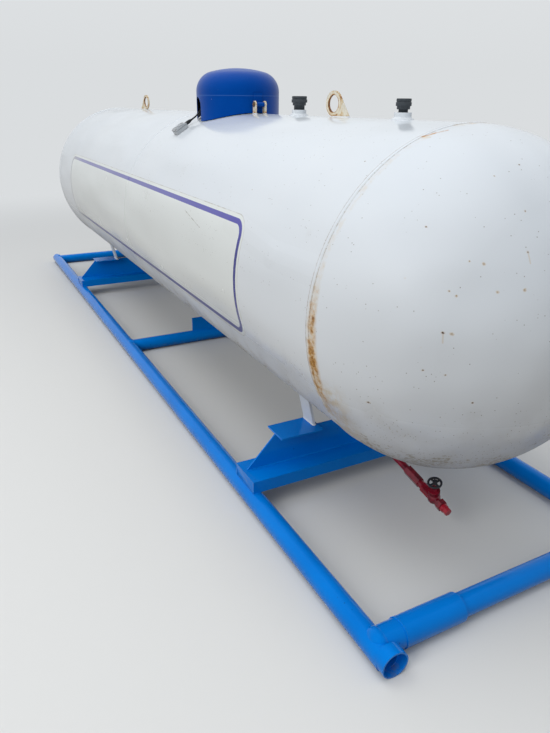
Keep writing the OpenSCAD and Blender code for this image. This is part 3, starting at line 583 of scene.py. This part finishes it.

# %% [markdown]
# ## The hood's blue
# The hood is pressed from sheet in two parts, a dome and a skirt, and painted a
# deeper royal blue. The joint shows as a faint line round it. Its inside is painted
# near black, as painted shade for the dark under the hood. Which side a face is on
# comes from its normal: inside, it points back at the hood's middle. That is
# sturdier than a distance, because the two sides of the sheet are only 3 mm apart.

# %% Hood blue
hood_blue, tree, shader, place = new_material("royal_blue_satin_enamel")
hood_low, hood_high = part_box("hood")
HOOD_MIDDLE = Vector(((hood_low.x + hood_high.x) / 2, 0, CROWN_Z + 0.05))
hood_tone = add(tree, "TexNoise", place, scale=6.0, detail=3.0)
hood_mix = add(tree, "Mix", hood_tone, "#003c90", "#00489f", data_type="RGBA")
hood_height = add(tree, "SeparateXYZ", place).outputs["Z"]
joint_gap = apart(tree, hood_height, CROWN_Z + 0.0755)
joint_line = add(tree, "MapRange", joint_gap, 0.0008, 0.0035, 1.0, 0.0, interpolation_type="SMOOTHSTEP")
joint_tint = add(tree, "Math", joint_line, 0.35, operation="MULTIPLY")
hood_worn = add(tree, "Mix", joint_tint, hood_mix, "#4671b8", data_type="RGBA")
hood_chips = specks(tree, place, 22.0, "Blue", 0.55, (0.022, 0.04), 0.7)
hood_worn = add(tree, "Mix", hood_chips, hood_worn, "#8fa3c9", data_type="RGBA")
face_out = add(tree, "NewGeometry").outputs["True Normal"]
face_out = add(tree, "VectorTransform", face_out, vector_type="NORMAL", convert_from="WORLD",
               convert_to="OBJECT")
outwards = add(tree, "VectorMath", place, HOOD_MIDDLE, operation="SUBTRACT")
outwards = add(tree, "VectorMath", outwards, operation="NORMALIZE")
faces_out = add(tree, "VectorMath", face_out, outwards, operation="DOT_PRODUCT")
inside = add(tree, "Math", faces_out, -0.25, operation="LESS_THAN")
# Faces that point inwards get a near-black colour: painted shade for the dark under the hood
hood_with_painted_shade = add(tree, "Mix", inside, hood_worn, "#15171b", data_type="RGBA")
hood_peel = add(tree, "TexNoise", place, scale=11.0, detail=3.0)
hood_bump = add(tree, "Bump", strength=0.1, distance=0.006, height=hood_peel)
joint_bump = add(tree, "Bump", strength=0.6, distance=0.001, height=joint_line, normal=hood_bump)
feed(tree, shader, base_color=hood_with_painted_shade, roughness=0.34, specular_tint="#3f74cf", normal=joint_bump)
print("hood blue ready, middle at", [round(v, 3) for v in HOOD_MIDDLE])

# %% [markdown]
# ## Lugs and hinge ears
# The lugs and the ears were primed in cream before the tank was sprayed. Chain
# hooks have worn the eyes to bare steel, so rust is strongest in the hole, and
# along each foot where water stands. Both lugs are the same distance from the
# tank's middle, so one distance, measured from a mirrored point, serves both.

# %% Cream primer, rusting
cream_primer, tree, shader, place = new_material("cream_primer_rusting")
along, _, upwards = add(tree, "SeparateXYZ", place).outputs
mirrored = apart(tree, along, MIDDLE_SEAM_X)
on_plate = add(tree, "CombineXYZ", x=mirrored, z=upwards)
EYE_AT = Vector((1.209, 0, CROWN_Z + 0.0453))
eye_gap = add(tree, "VectorMath", on_plate, EYE_AT, operation="DISTANCE")
hole_rust = add(tree, "MapRange", eye_gap, 0.0295, 0.0345, 0.34, 0.0)
rim_rust = add(tree, "MapRange", apart(tree, eye_gap, 0.044), 0.0005, 0.004, 0.14, 0.0)
foot_rust = add(tree, "MapRange", upwards, CROWN_Z + 0.002, CROWN_Z + 0.014, 0.12, 0.0)
eaten = add(tree, "TexNoise", place, scale=40.0, detail=8.0, roughness=0.7)
for mask in (hole_rust, rim_rust, foot_rust):
    eaten = add(tree, "Math", eaten, mask, operation="ADD")
eaten_tone = add(tree, "ValToRGB", eaten)
set_stops(eaten_tone, (0.50, "#ddd6c4"), (0.62, "#d0b88f"), (0.74, "#a06a35"), (0.92, "#4b2f1c"))
eaten_bump = add(tree, "Bump", strength=0.3, distance=0.001, height=eaten)
feed(tree, shader, base_color=eaten_tone, roughness=0.62, normal=eaten_bump)
print("cream primer ready")

# %% [markdown]
# ## The drain line's red and the plainer finishes
# The drain line was dipped in a dark red enamel that pools glossy in the hollows
# and is thin on the castings' skin. The other finishes, such as rubber, PVC and
# brass, differ in their two tones, their grain and their gloss, so one function
# makes them all.

# %% Drain red
drain_red, tree, shader, place = new_material("red_dip_enamel")
red_tone = add(tree, "TexNoise", place, scale=38.0, detail=6.0, roughness=0.65)
red_mix = add(tree, "ValToRGB", red_tone)
set_stops(red_mix, (0.35, "#5c0a1c"), (0.68, "#981a30"))
red_bump = add(tree, "Bump", strength=0.3, distance=0.001, height=red_tone)
feed(tree, shader, base_color=red_mix, roughness=0.26, normal=red_bump)
print("drain red ready")


# %% Plainer finishes
def mottled(name, dark, light, roughness, scale=60.0, bump=0.15, metallic=0.0):
    """A finish of two close tones with a fine relief."""
    material, tree, shader, place = new_material(name)
    grain = add(tree, "TexNoise", place, scale=scale, detail=5.0, roughness=0.6)
    tone = add(tree, "Mix", grain, dark, light, data_type="RGBA")
    relief = add(tree, "Bump", strength=bump, distance=0.001, height=grain)
    feed(tree, shader, base_color=tone, roughness=roughness, metallic=metallic, normal=relief)
    return material


# Moulded rubber: a soft grey-black with hardly a highlight
cap_rubber = mottled("moulded_black_rubber", "#2d3135", "#454b51", 0.7, 90.0)
# Extruded PVC: nearly black, with a narrow satin highlight
lead_plastic = mottled("black_pvc_jacket", "#131416", "#1e2023", 0.42, 120.0, 0.05)
# Moulded polycarbonate: an even pale grey, clean and slightly glossy
box_plastic = mottled("grey_polycarbonate", "#a3a7ab", "#bcc0c3", 0.3, 80.0, 0.05)
# Turned steel left bare: brown where it rusts, bright where it rubs
pin_steel = mottled("bright_steel_rusting", "#6e4a2c", "#8d8173", 0.5, 150.0, 0.3, 0.6)
# Forged brass that has dulled in the air: a warm, broad shine
valve_brass = mottled("forged_brass_dull", "#a3813c", "#bb9a57", 0.38, 70.0, 0.1, 1.0)
# Die-cast zinc: grey metal with a fine cast skin
gauge_zinc = mottled("zinc_casting", "#8f9396", "#a7abad", 0.45, 90.0, 0.15, 0.8)
# Cast iron under black paint: the grain of the casting shows through
wheel_iron = mottled("painted_iron_casting", "#1d1e22", "#303137", 0.5, 80.0)
# Fresh red enamel on the plug: brighter and smoother than the dip on the line
plug_red = mottled("bright_red_enamel", "#8f1326", "#c01f36", 0.3, 60.0)
lead.data.materials.append(lead_plastic)
print("finishes ready")

# %% Give each node its finish
finish_of = {
    "tank_shell near_head far_head near_seam_weld middle_seam_weld far_seam_weld near_front_leg "
    "near_back_leg far_front_leg far_back_leg near_relief_coupling far_relief_coupling "
    "port_couplings": white_enamel,
    "near_lifting_lug far_lifting_lug hinge_ears": cream_primer,
    "near_relief_cap far_relief_cap": cap_rubber,
    "fill_valve service_valve vapour_valve": valve_brass,
    "float_gauge": gauge_zinc,
    "hinge_pin": pin_steel,
    "hood hood_knuckle": hood_blue,
    "monitor_box": box_plastic,
    "monitor_plug monitor_lead": lead_plastic,
    "near_saddle_pads far_saddle_pads near_saddle_web far_saddle_web near_saddle_channel far_saddle_channel "
    "front_runner back_runner near_cross_tube far_cross_tube middle_cross_tube near_cross_sleeves "
    "belly_plate": skid_blue,
    "drain_pipe drain_valve": drain_red,
    "drain_plug": plug_red,
    "drain_wheel": wheel_iron,
}
for names, material in finish_of.items():
    for name in names.split():
        mesh = node_objects[name].data
        mesh.materials.clear()
        mesh.materials.append(material)
print("finished nodes:", sum(len(names.split()) for names in finish_of))

# %% [markdown]
# ## Weld beads round the tank
# The heads are joined to the shell by machine welds, which show as a flat ridge
# 16 mm wide with crescent ripples. A profile of the ridge is spun round the
# tank's axis, and each ring of it is then lowered a little by its place in the
# ripple. The ripples are 11 mm apart, where real ones are 3 mm, so that they
# still show from two metres away.

# %% Helpers that close a piece
def close_piece(name, shape, material, stands_for=()):
    """An object of the tank's own body from a mesh or a bmesh, with its paint."""
    mesh = shape if isinstance(shape, bpy.types.Mesh) else mesh_from(name, shape)
    mesh.materials.append(material)
    mesh.shade_smooth()
    piece = bpy.data.objects.new(name, mesh)
    bpy.context.scene.collection.objects.link(piece)
    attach(piece, "tank_on_skid")
    if stands_for:
        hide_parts(*stands_for)
    print("%s: %d faces" % (name, len(mesh.polygons)))


def mesh_from(name, bm):
    """A mesh with its faces turned outwards, from a bmesh that is done with."""
    bmesh.ops.remove_doubles(bm, verts=bm.verts, dist=1e-6)
    bmesh.ops.recalc_face_normals(bm, faces=bm.faces)
    mesh = bpy.data.meshes.new(name)
    bm.to_mesh(mesh)
    bm.free()
    return mesh


def soften(bm, offset):
    """Round every edge of a mesh by a little."""
    bmesh.ops.bevel(bm, geom=bm.edges[:], offset=offset, offset_type="OFFSET", segments=2, profile=0.5,
                    affect="EDGES", material=-1)


print("helpers ready")

# %% Seam beads
BEAD_HALF, BEAD_HIGH, RIPPLES = 0.008, 0.0022, 300
RIPPLE_DEEP, BEAD_FOOT, BEAD_SUNK = 0.0006, 0.0003, 0.0008
seams = (("near_seam_weld", NEAR_SEAM_X), ("middle_seam_weld", MIDDLE_SEAM_X), ("far_seam_weld", FAR_SEAM_X))
for name, seam_x in seams:
    bm = bmesh.new()
    ridge = [bm.verts.new((seam_x + BEAD_HALF * across, 0,
                           TANK_Z + TANK_R + BEAD_FOOT + BEAD_HIGH * (1 - across ** 2)))
             for across in (i / 4 for i in range(-4, 5))]
    foot = [bm.verts.new((seam_x + BEAD_HALF * side, 0, TANK_Z + TANK_R - BEAD_SUNK)) for side in (1, -1)]
    profile = ridge + foot
    edges = [bm.edges.new(pair) for pair in zip(profile, profile[1:] + profile[:1])]
    bmesh.ops.spin(bm, geom=profile + edges, cent=(seam_x, 0, TANK_Z), axis=(1, 0, 0), angle=2 * math.pi,
                   steps=RIPPLES * 3, use_merge=True)
    for vert in bm.verts:
        out = Vector((0, vert.co.y, vert.co.z - TANK_Z))
        if out.length > TANK_R + 2 * BEAD_FOOT:
            turn_share = math.atan2(out.y, out.z) / (2 * math.pi) * RIPPLES
            crescent = (turn_share + abs(vert.co.x - seam_x) / BEAD_HALF * 0.6) % 1.0
            vert.co -= out.normalized() * RIPPLE_DEEP * crescent
    close_piece("rippled_" + name, bm, white_enamel, stands_for=(name,))

# %% [markdown]
# ## Hand-laid fillet welds
# Everywhere else the steel is joined by hand-laid fillets: a convex bead that
# fills the corner between two plates, 5 mm on a side, with a ripple for each
# step of the torch. A bevelled curve along each corner does it, because a round
# bead whose middle lies on the corner shows just its outer quarter. Its radius
# swells and shrinks from point to point, and each open bead tapers at its ends.

# %% Bead helper
def evenly(points, pitch, closed):
    """The same path with its points at an even pitch."""
    path = [Vector(p) for p in points]
    if closed:
        path.append(path[0])
    marks = [0.0]
    for a, b in zip(path, path[1:]):
        marks.append(marks[-1] + (b - a).length)
    count = max(4, round(marks[-1] / pitch))
    laid, leg = [], 0
    for i in range(count if closed else count + 1):
        at = marks[-1] * i / count
        while leg < len(path) - 2 and at > marks[leg + 1]:
            leg += 1
        share = (at - marks[leg]) / max(marks[leg + 1] - marks[leg], 1e-9)
        laid.append(path[leg].lerp(path[leg + 1], share))
    return laid


BEAD_PITCH = 0.0028
SWELLS = (0.90, 1.0, 1.05, 0.97)


def fillet_welds(name, runs, material):
    """Rippled beads along runs, each a path, the bead's leg and whether it closes."""
    curve = bpy.data.curves.new(name, "CURVE")
    curve.dimensions = "3D"
    curve.bevel_depth = 1.0
    curve.bevel_resolution = 1
    curve.use_fill_caps = True
    for points, leg, closed in runs:
        laid = evenly(points, BEAD_PITCH, closed)
        spline = curve.splines.new("POLY")
        spline.points.add(len(laid) - 1)
        spline.use_cyclic_u = closed
        for i, at in enumerate(laid):
            taper = 1.0 if closed else min(1.0, 0.45 + 0.14 * min(i, len(laid) - 1 - i))
            spline.points[i].co = (*at, 1)
            spline.points[i].radius = leg * SWELLS[i % 4] * taper
    close_piece(name, mesh_of(curve), material)


def straight(start, end, leg):
    """A straight open run between two points."""
    return (start, end), leg, False


print("a ripple every %.1f mm" % (BEAD_PITCH * 1000))

# %% Plates that close the channels' ends
# Each plate fits between the channel's walls, which are 6 mm thick, and clears the runner
INSET, PLATE_T, PLATE_Y, RUNNER_TOP = 0.0063, 0.004, 0.5325, 0.073
CHANNEL_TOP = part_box("near_saddle_channel")[1].z
saddles = (("near_saddle_web", "near_saddle_channel"), ("far_saddle_web", "far_saddle_channel"))
plate_top, plate_foot = CHANNEL_TOP - 0.0064, RUNNER_TOP + 0.0002
bm = bmesh.new()
for _, channel_name in saddles:
    channel_low, channel_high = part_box(channel_name)
    plate_size = (channel_high.x - channel_low.x - 2 * INSET, PLATE_T, plate_top - plate_foot)
    middle_x, middle_z = (channel_low.x + channel_high.x) / 2, (plate_top + plate_foot) / 2
    for side in (-1, 1):
        plate = bmesh.ops.create_cube(bm, size=1.0)["verts"]
        bmesh.ops.scale(bm, vec=plate_size, verts=plate)
        bmesh.ops.translate(bm, vec=(middle_x, side * PLATE_Y, middle_z), verts=plate)
soften(bm, 0.0008)
close_piece("channel_end_plates", bm, skid_blue)

# %% Welds of the saddles
WEB_TOP, WEB_FACE, WEB_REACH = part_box("near_saddle_web")[1].z, 0.003, 0.518
PAD_START, PAD_END, FLANK_START, FLANK_END = 0.228, 0.402, 0.504, 0.533
saddle_runs = []
for web_name, channel_name in saddles:
    web_x = sum(corner.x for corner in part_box(web_name)) / 2
    channel_low, channel_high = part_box(channel_name)
    for x in (web_x - WEB_FACE, web_x + WEB_FACE):
        saddle_runs.append(straight((x, -WEB_REACH, CHANNEL_TOP), (x, WEB_REACH, CHANNEL_TOP), 0.0045))
        # Under each pad
        for side in (-1, 1):
            pad_start, pad_end = (x, side * PAD_START, WEB_TOP), (x, side * PAD_END, WEB_TOP)
            saddle_runs.append(straight(pad_start, pad_end, 0.0040))
    for side in (-1, 1):
        # Two passes along the runner's crown close the channel's end
        for y, z, leg in ((0.5290, RUNNER_TOP - 0.0005, 0.0065), (0.5235, RUNNER_TOP + 0.0055, 0.0060)):
            low_end, high_end = (channel_low.x + 0.002, side * y, z), (channel_high.x - 0.002, side * y, z)
            saddle_runs.append(straight(low_end, high_end, leg))
        for x in (channel_low.x, channel_high.x):
            z = RUNNER_TOP - 0.002
            saddle_runs.append(straight((x, side * FLANK_START, z), (x, side * FLANK_END, z), 0.0050))
fillet_welds("saddle_weld_beads", saddle_runs, skid_blue)

# %% Welds of the legs
LEG_Y, LEG_HALF_T, LEG_LEAN = 0.242, 0.005, math.radians(13)
FOOT_BEAD, TOP_BEAD = 0.0042, 0.0048


def leg_top(y_at_foot, foot_z):
    """Where a leaning face of a leg meets the belly: its reach and its height."""
    z = foot_z
    for _ in range(30):
        y = y_at_foot + (z - foot_z) * math.tan(LEG_LEAN)
        z = TANK_Z - math.sqrt(TANK_R ** 2 - y ** 2)
    return y, z


leg_runs = []
for name, side in (("near_front_leg", -1), ("near_back_leg", 1), ("far_front_leg", -1), ("far_back_leg", 1)):
    leg_low, leg_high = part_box(name)
    feet = [(y, leg_low.z) for y in (LEG_Y - LEG_HALF_T, LEG_Y + LEG_HALF_T)]
    tops = [leg_top(*foot) for foot in feet]
    for ((y_in, z_in), (y_out, z_out)), bead_leg in ((feet, FOOT_BEAD), (tops, TOP_BEAD)):
        corners = [(leg_low.x, side * y_in, z_in), (leg_high.x, side * y_in, z_in),
                   (leg_high.x, side * y_out, z_out), (leg_low.x, side * y_out, z_out)]
        leg_runs.append((corners, bead_leg, True))
fillet_welds("leg_weld_beads", leg_runs, white_enamel)

# %% [markdown]
# A pipe that meets another at a right angle is coped: its end follows a saddle
# curve. The bead follows the same curve, which is the height of the cross tube's
# wall fed into the circle of the runner. Beads stop short of the ground.

# %% Welds of the skid's pipes
RUNNER_Y, TUBE_R, SLEEVE_R = 0.520, 0.0365, 0.04445
NEAR_TUBE_X, MIDDLE_TUBE_X = 2.485, -0.008
FLOOR_GAP = 0.0006


def clears_floor(z, leg):
    """Whether a bead of this leg, at its fattest, stays off the ground."""
    return z >= leg * 1.06 + FLOOR_GAP


def coped(x, side, leg):
    """Run round the corner between a cross tube's end and its runner."""
    path = []
    for angle in (math.radians(step) for step in range(-70, 251, 5)):
        high = TUBE_R + TUBE_R * math.sin(angle)
        reach = TUBE_R ** 2 - (high - TUBE_R) ** 2
        y = RUNNER_Y - math.sqrt(reach) if reach > 0 else RUNNER_Y
        if clears_floor(high, leg):
            path.append((x + TUBE_R * math.cos(angle), side * y, high))
    return path, leg, False


def collar_arc(side, leg):
    """Arc over the crown and the inner side of a runner, at its collar's step."""
    x, y, z, radius = 2.5285, 0.5165, 0.0393, 0.0392
    path = [(x, side * (y + radius * math.cos(a)), z + radius * math.sin(a))
            for a in (math.radians(step) for step in range(62, 271, 6))]
    return [p for p in path if clears_floor(p[2], leg)], leg, False


def sleeve_ring(side, y, radius, leg):
    """Ring round the near cross tube, at one end of its sleeve."""
    path = [(NEAR_TUBE_X + radius * math.cos(a), side * y, SLEEVE_R + radius * math.sin(a))
            for a in (math.radians(step) for step in range(-90, 271, 6))]
    return [p for p in path if clears_floor(p[2], leg)], leg, False


skid_runs = []
for side in (-1, 1):
    skid_runs += [coped(x, side, 0.0050) for x in (-NEAR_TUBE_X, MIDDLE_TUBE_X)]
    skid_runs.append(collar_arc(side, 0.0045))
    skid_runs += [sleeve_ring(side, 0.2310, 0.0395, 0.0045), sleeve_ring(side, 0.4420, 0.0425, 0.0030)]
# Both faces of the belly plate's foot
for x in (MIDDLE_TUBE_X - 0.005, MIDDLE_TUBE_X + 0.005):
    skid_runs.append(straight((x, -0.117, 0.0733), (x, 0.117, 0.0733), 0.0045))
fillet_welds("skid_weld_beads", skid_runs, skid_blue)

# %% Weld metal built up over the stubs' ends
# The stubs are fatter than the runners, so the step over each crown was filled and
# ground smooth: a rounded body that is sunk into both pipes shows just that fill
FILL_HALF, FILL_Y, FILL_Z = (0.0425, 0.0290, 0.0365), 0.5140, 0.0515
bm = bmesh.new()
for side in (-1, 1):
    fill = bmesh.ops.create_uvsphere(bm, u_segments=48, v_segments=24, radius=1.0)["verts"]
    bmesh.ops.scale(bm, vec=FILL_HALF, verts=fill)
    bmesh.ops.translate(bm, vec=(NEAR_TUBE_X, side * FILL_Y, FILL_Z), verts=fill)
close_piece("stub_end_fills", bm, skid_blue)


# %% Welds on the crown and at the drain
def wall_z(y, below=False):
    """Height of the tank's wall at this distance from its centre plane."""
    lift = math.sqrt(TANK_R ** 2 - y ** 2)
    return TANK_Z - lift if below else TANK_Z + lift


def ring_on_wall(x, y, radius, leg, below=False):
    """Run round an upright pipe, laid on the tank's wall."""
    path = []
    for angle in (math.radians(step) for step in range(0, 360, 10)):
        ring_y = y + radius * math.sin(angle)
        path.append((x + radius * math.cos(angle), ring_y, wall_z(ring_y, below)))
    return path, leg, True


def plate_on_wall(middle, along, long_half, thick_half, leg):
    """Run round the foot of an upright plate on the crown."""
    across = Vector((-along.y, along.x, 0))
    corners = [middle + along * long_half * a + across * thick_half * b
               for a, b in ((-1, -1), (1, -1), (1, 1), (-1, 1))]
    return [(c.x, c.y, wall_z(c.y)) for c in corners], leg, True


NEAR_RELIEF_X, FAR_RELIEF_X, DRAIN_X = NEAR_SEAM_X - 0.319, NEAR_SEAM_X - 0.994, 1.765
crown_runs = [ring_on_wall(NEAR_RELIEF_X, 0, 0.0335, 0.0038), ring_on_wall(FAR_RELIEF_X, 0, 0.0345, 0.0038),
              ring_on_wall(DRAIN_X, 0, 0.0155, 0.0036, below=True)]
for x_side in (-1, 1):
    for y_side in (-1, 1):
        port_x, port_y = HOOD_X + x_side * PORT_STEP, y_side * PORT_STEP
        crown_runs.append(ring_on_wall(port_x, port_y, 0.0265, 0.0045))
# The lugs stand 6 degrees off the tank's length, and the middle of each foot is off its eye
LUG_TURN, FOOT_OFF = math.radians(6), 0.043
for seam_side, eye_x in ((1, 1.344), (-1, -1.074)):
    along = Vector((math.cos(LUG_TURN), math.sin(LUG_TURN), 0)) * seam_side
    foot = Vector((eye_x, 0, 0)) + along * FOOT_OFF
    crown_runs.append(plate_on_wall(foot, along, long_half=0.0455, thick_half=0.004, leg=0.0036))
pin_low, pin_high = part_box("hinge_pin")
PIN_AT = (pin_low + pin_high) / 2
# How far the ears, the washers and the split pins are from the hinge's middle
EAR_OFF, WASHER_OFF, SPLIT_OFF = 0.025, 0.0283, 0.0324
for side in (-1, 1):
    ear = Vector((PIN_AT.x, PIN_AT.y + side * EAR_OFF, 0))
    crown_runs.append(plate_on_wall(ear, Vector((1, 0, 0)), long_half=0.015, thick_half=0.003, leg=0.0034))
fillet_welds("crown_weld_beads", crown_runs, white_enamel)

# %% [markdown]
# ## Small parts of the fittings
# Turned parts, such as washers, are a half profile spun round their axis. That
# keeps their edges and steps crisp with few faces. The lead's plug is one too:
# a moulded grip that tapers to the jacket, so that the lead can't kink there.

# %% Turned parts
def turned(bm, profile, at, steps=32):
    """Add a body of revolution: (radius, height) pairs from the axis out and back to it."""
    rim = [bm.verts.new((radius, 0, height)) for radius, height in profile]
    edges = [bm.edges.new(pair) for pair in zip(rim, rim[1:])]
    bmesh.ops.spin(bm, geom=rim + edges, cent=(0, 0, 0), axis=(0, 0, 1), angle=2 * math.pi, steps=steps,
                   use_merge=True)
    # What hangs together with the profile is the new body
    fresh = {v for v in rim if v.is_valid}
    reached = set(fresh)
    while fresh:
        fresh = {e.other_vert(v) for v in fresh for e in v.link_edges} - reached
        reached |= fresh
    bmesh.ops.transform(bm, matrix=at, verts=list(reached))


def grip_profile():
    """Half profile of the plug: a collar, three grip rings and a taper."""
    profile = [(0.0, 0.0), (0.0088, 0.0), (0.0090, 0.001), (0.0090, 0.006), (0.0080, 0.007)]
    for ring in range(3):
        foot = 0.009 + ring * 0.006
        profile += [(0.0080, foot), (0.0087, foot + 0.001), (0.0087, foot + 0.003), (0.0078, foot + 0.004)]
    return profile + [(0.0070, 0.028), (0.0056, 0.034), (0.0046, 0.0396), (0.0, 0.0400)]


on_box = (Matrix.Translation((BOX_AT, 0, TANK_Z)) @ Matrix.Rotation(BOX_TURN, 4, "X")
          @ Matrix.Translation((0, 0, TANK_R)))
plug_at = on_box @ Matrix.Translation((0, PLUG_FOOT, PLUG_LIFT)) @ Matrix.Rotation(-math.pi / 2, 4, "X")
bm = bmesh.new()
turned(bm, grip_profile(), plug_at, 40)
close_piece("moulded_plug", bm, lead_plastic, stands_for=("monitor_plug",))

# %% Rain caps of the relief valves
# A moulded cap has a skirt, a band that stands out and a narrower crown above a groove
cap_shape = ((0.82, 0.0), (0.84, 0.03), (0.84, 0.29), (0.98, 0.32), (1.0, 0.35), (1.0, 0.62), (0.98, 0.65),
             (0.90, 0.67), (0.90, 0.71), (0.95, 0.74), (0.95, 0.93), (0.93, 0.98), (0.88, 1.0))
for name, neck_r, cap_h in (("near_relief_cap", 0.0150, 0.032), ("far_relief_cap", 0.0215, 0.035)):
    cap_low, cap_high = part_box(name)
    cap_r, brim = (cap_high.x - cap_low.x) / 2 - 0.0001, cap_high.z - cap_low.z - cap_h
    skin = [(cap_r * r, brim + cap_h * h) for r, h in cap_shape]
    profile = [(0.0, 0.0), (neck_r, 0.0), (neck_r, brim), *skin, (0.0, brim + cap_h)]
    foot = Vector(((cap_low.x + cap_high.x) / 2, (cap_low.y + cap_high.y) / 2, cap_low.z))
    bm = bmesh.new()
    turned(bm, profile, Matrix.Translation(foot), 48)
    close_piece("moulded_" + name, bm, cap_rubber, stands_for=(name,))

# %% Washers and split pins of the hinge
washer = ((0.0061, 0.0), (0.0106, 0.0), (0.0110, 0.0004), (0.0110, 0.0016), (0.0106, 0.0020),
          (0.0061, 0.0020), (0.0061, 0.0))
bm = bmesh.new()
for side in (-1, 1):
    face = Vector((PIN_AT.x, PIN_AT.y + side * WASHER_OFF, PIN_AT.z))
    turned(bm, washer, Matrix.Translation(face) @ Matrix.Rotation(-side * math.pi / 2, 4, "X"))
close_piece("hinge_washers", bm, pin_steel)

# A split pin has a round eye above the hinge pin and one bent leg below it
EYE_R, EYE_UP = 0.0026, 0.0105
split_runs = []
for side in (-1, 1):
    y = PIN_AT.y + side * SPLIT_OFF
    eye = [(EYE_R * math.sin(a), EYE_UP - EYE_R * math.cos(a))
           for a in (math.radians(step) for step in range(20, 341, 20))]
    wire = [(0.0006, -0.0085), *eye, (-0.0006, 0.0070), (-0.0006, -0.0075), (-0.0050, -0.0115)]
    split_runs.append(([(PIN_AT.x + x, y, PIN_AT.z + z) for x, z in wire], 0.0011, False))
fillet_welds("split_pins", split_runs, pin_steel)

# %% [markdown]
# The monitor box is a moulding in two halves. A dark gasket shows between them,
# and four screws hold the lid. The gasket is a box bevelled on its edges that
# stands 0.4 mm proud of the walls, so only its edge shows. Each screw has a small
# dimple, as a tamper-proof head has.

# %% Gasket and lid screws of the monitor box
GASKET_SIZE, GASKET_Z = (0.0568, 0.0658, 0.0016), 0.0175
SCREW_X, SCREW_Y, LID_Z = 0.0225, 0.0300, 0.0225
bm = bmesh.new()
bmesh.ops.create_cube(bm, size=1.0)
bmesh.ops.scale(bm, vec=GASKET_SIZE, verts=bm.verts)
bmesh.ops.translate(bm, vec=(0, 0, GASKET_Z), verts=bm.verts)
soften(bm, 0.0005)
bmesh.ops.transform(bm, matrix=on_box, verts=bm.verts)
close_piece("box_gasket", bm, cap_rubber)

screw = ((0.0, 0.0), (0.0032, 0.0), (0.0032, 0.0016), (0.0026, 0.0023), (0.0012, 0.0025), (0.0010, 0.0014),
         (0.0, 0.0014))
bm = bmesh.new()
for x in (-SCREW_X, SCREW_X):
    for y in (-SCREW_Y, SCREW_Y):
        turned(bm, screw, on_box @ Matrix.Translation((x, y, LID_Z)), 20)
close_piece("box_screws", bm, pin_steel)

# %% [markdown]
# A hexagon nut holds the handwheel on its stem. Its corners are chamfered by the
# turning tool on a real one; here a cylinder with six sides gets bevelled edges.

# %% Nut on the drain valve's stem
ELBOW_DROP, GLOBE_FROM_ELBOW, NUT_UP, NUT_R, NUT_HIGH = 0.122, 0.3483, 0.0873, 0.0091, 0.0060
elbow_at = Matrix.Translation((DRAIN_X, 0, BELLY_Z - ELBOW_DROP))
# The line runs down by 11 degrees, and the valve leans out by 14
drain_slope, globe_turn = Matrix.Rotation(math.radians(11), 4, "Y"), Matrix.Rotation(math.radians(14), 4, "X")
stem_at = elbow_at @ drain_slope @ Matrix.Translation((GLOBE_FROM_ELBOW, 0, 0)) @ globe_turn
bm = bmesh.new()
bmesh.ops.create_cone(bm, cap_ends=True, segments=6, radius1=NUT_R, radius2=NUT_R, depth=NUT_HIGH)
soften(bm, 0.0007)
bmesh.ops.transform(bm, matrix=stem_at @ Matrix.Translation((0, 0, NUT_UP)), verts=bm.verts)
close_piece("stem_nut", bm, wheel_iron)

# %% Plain colour view
bpy.context.scene.view_settings.view_transform = "Standard"
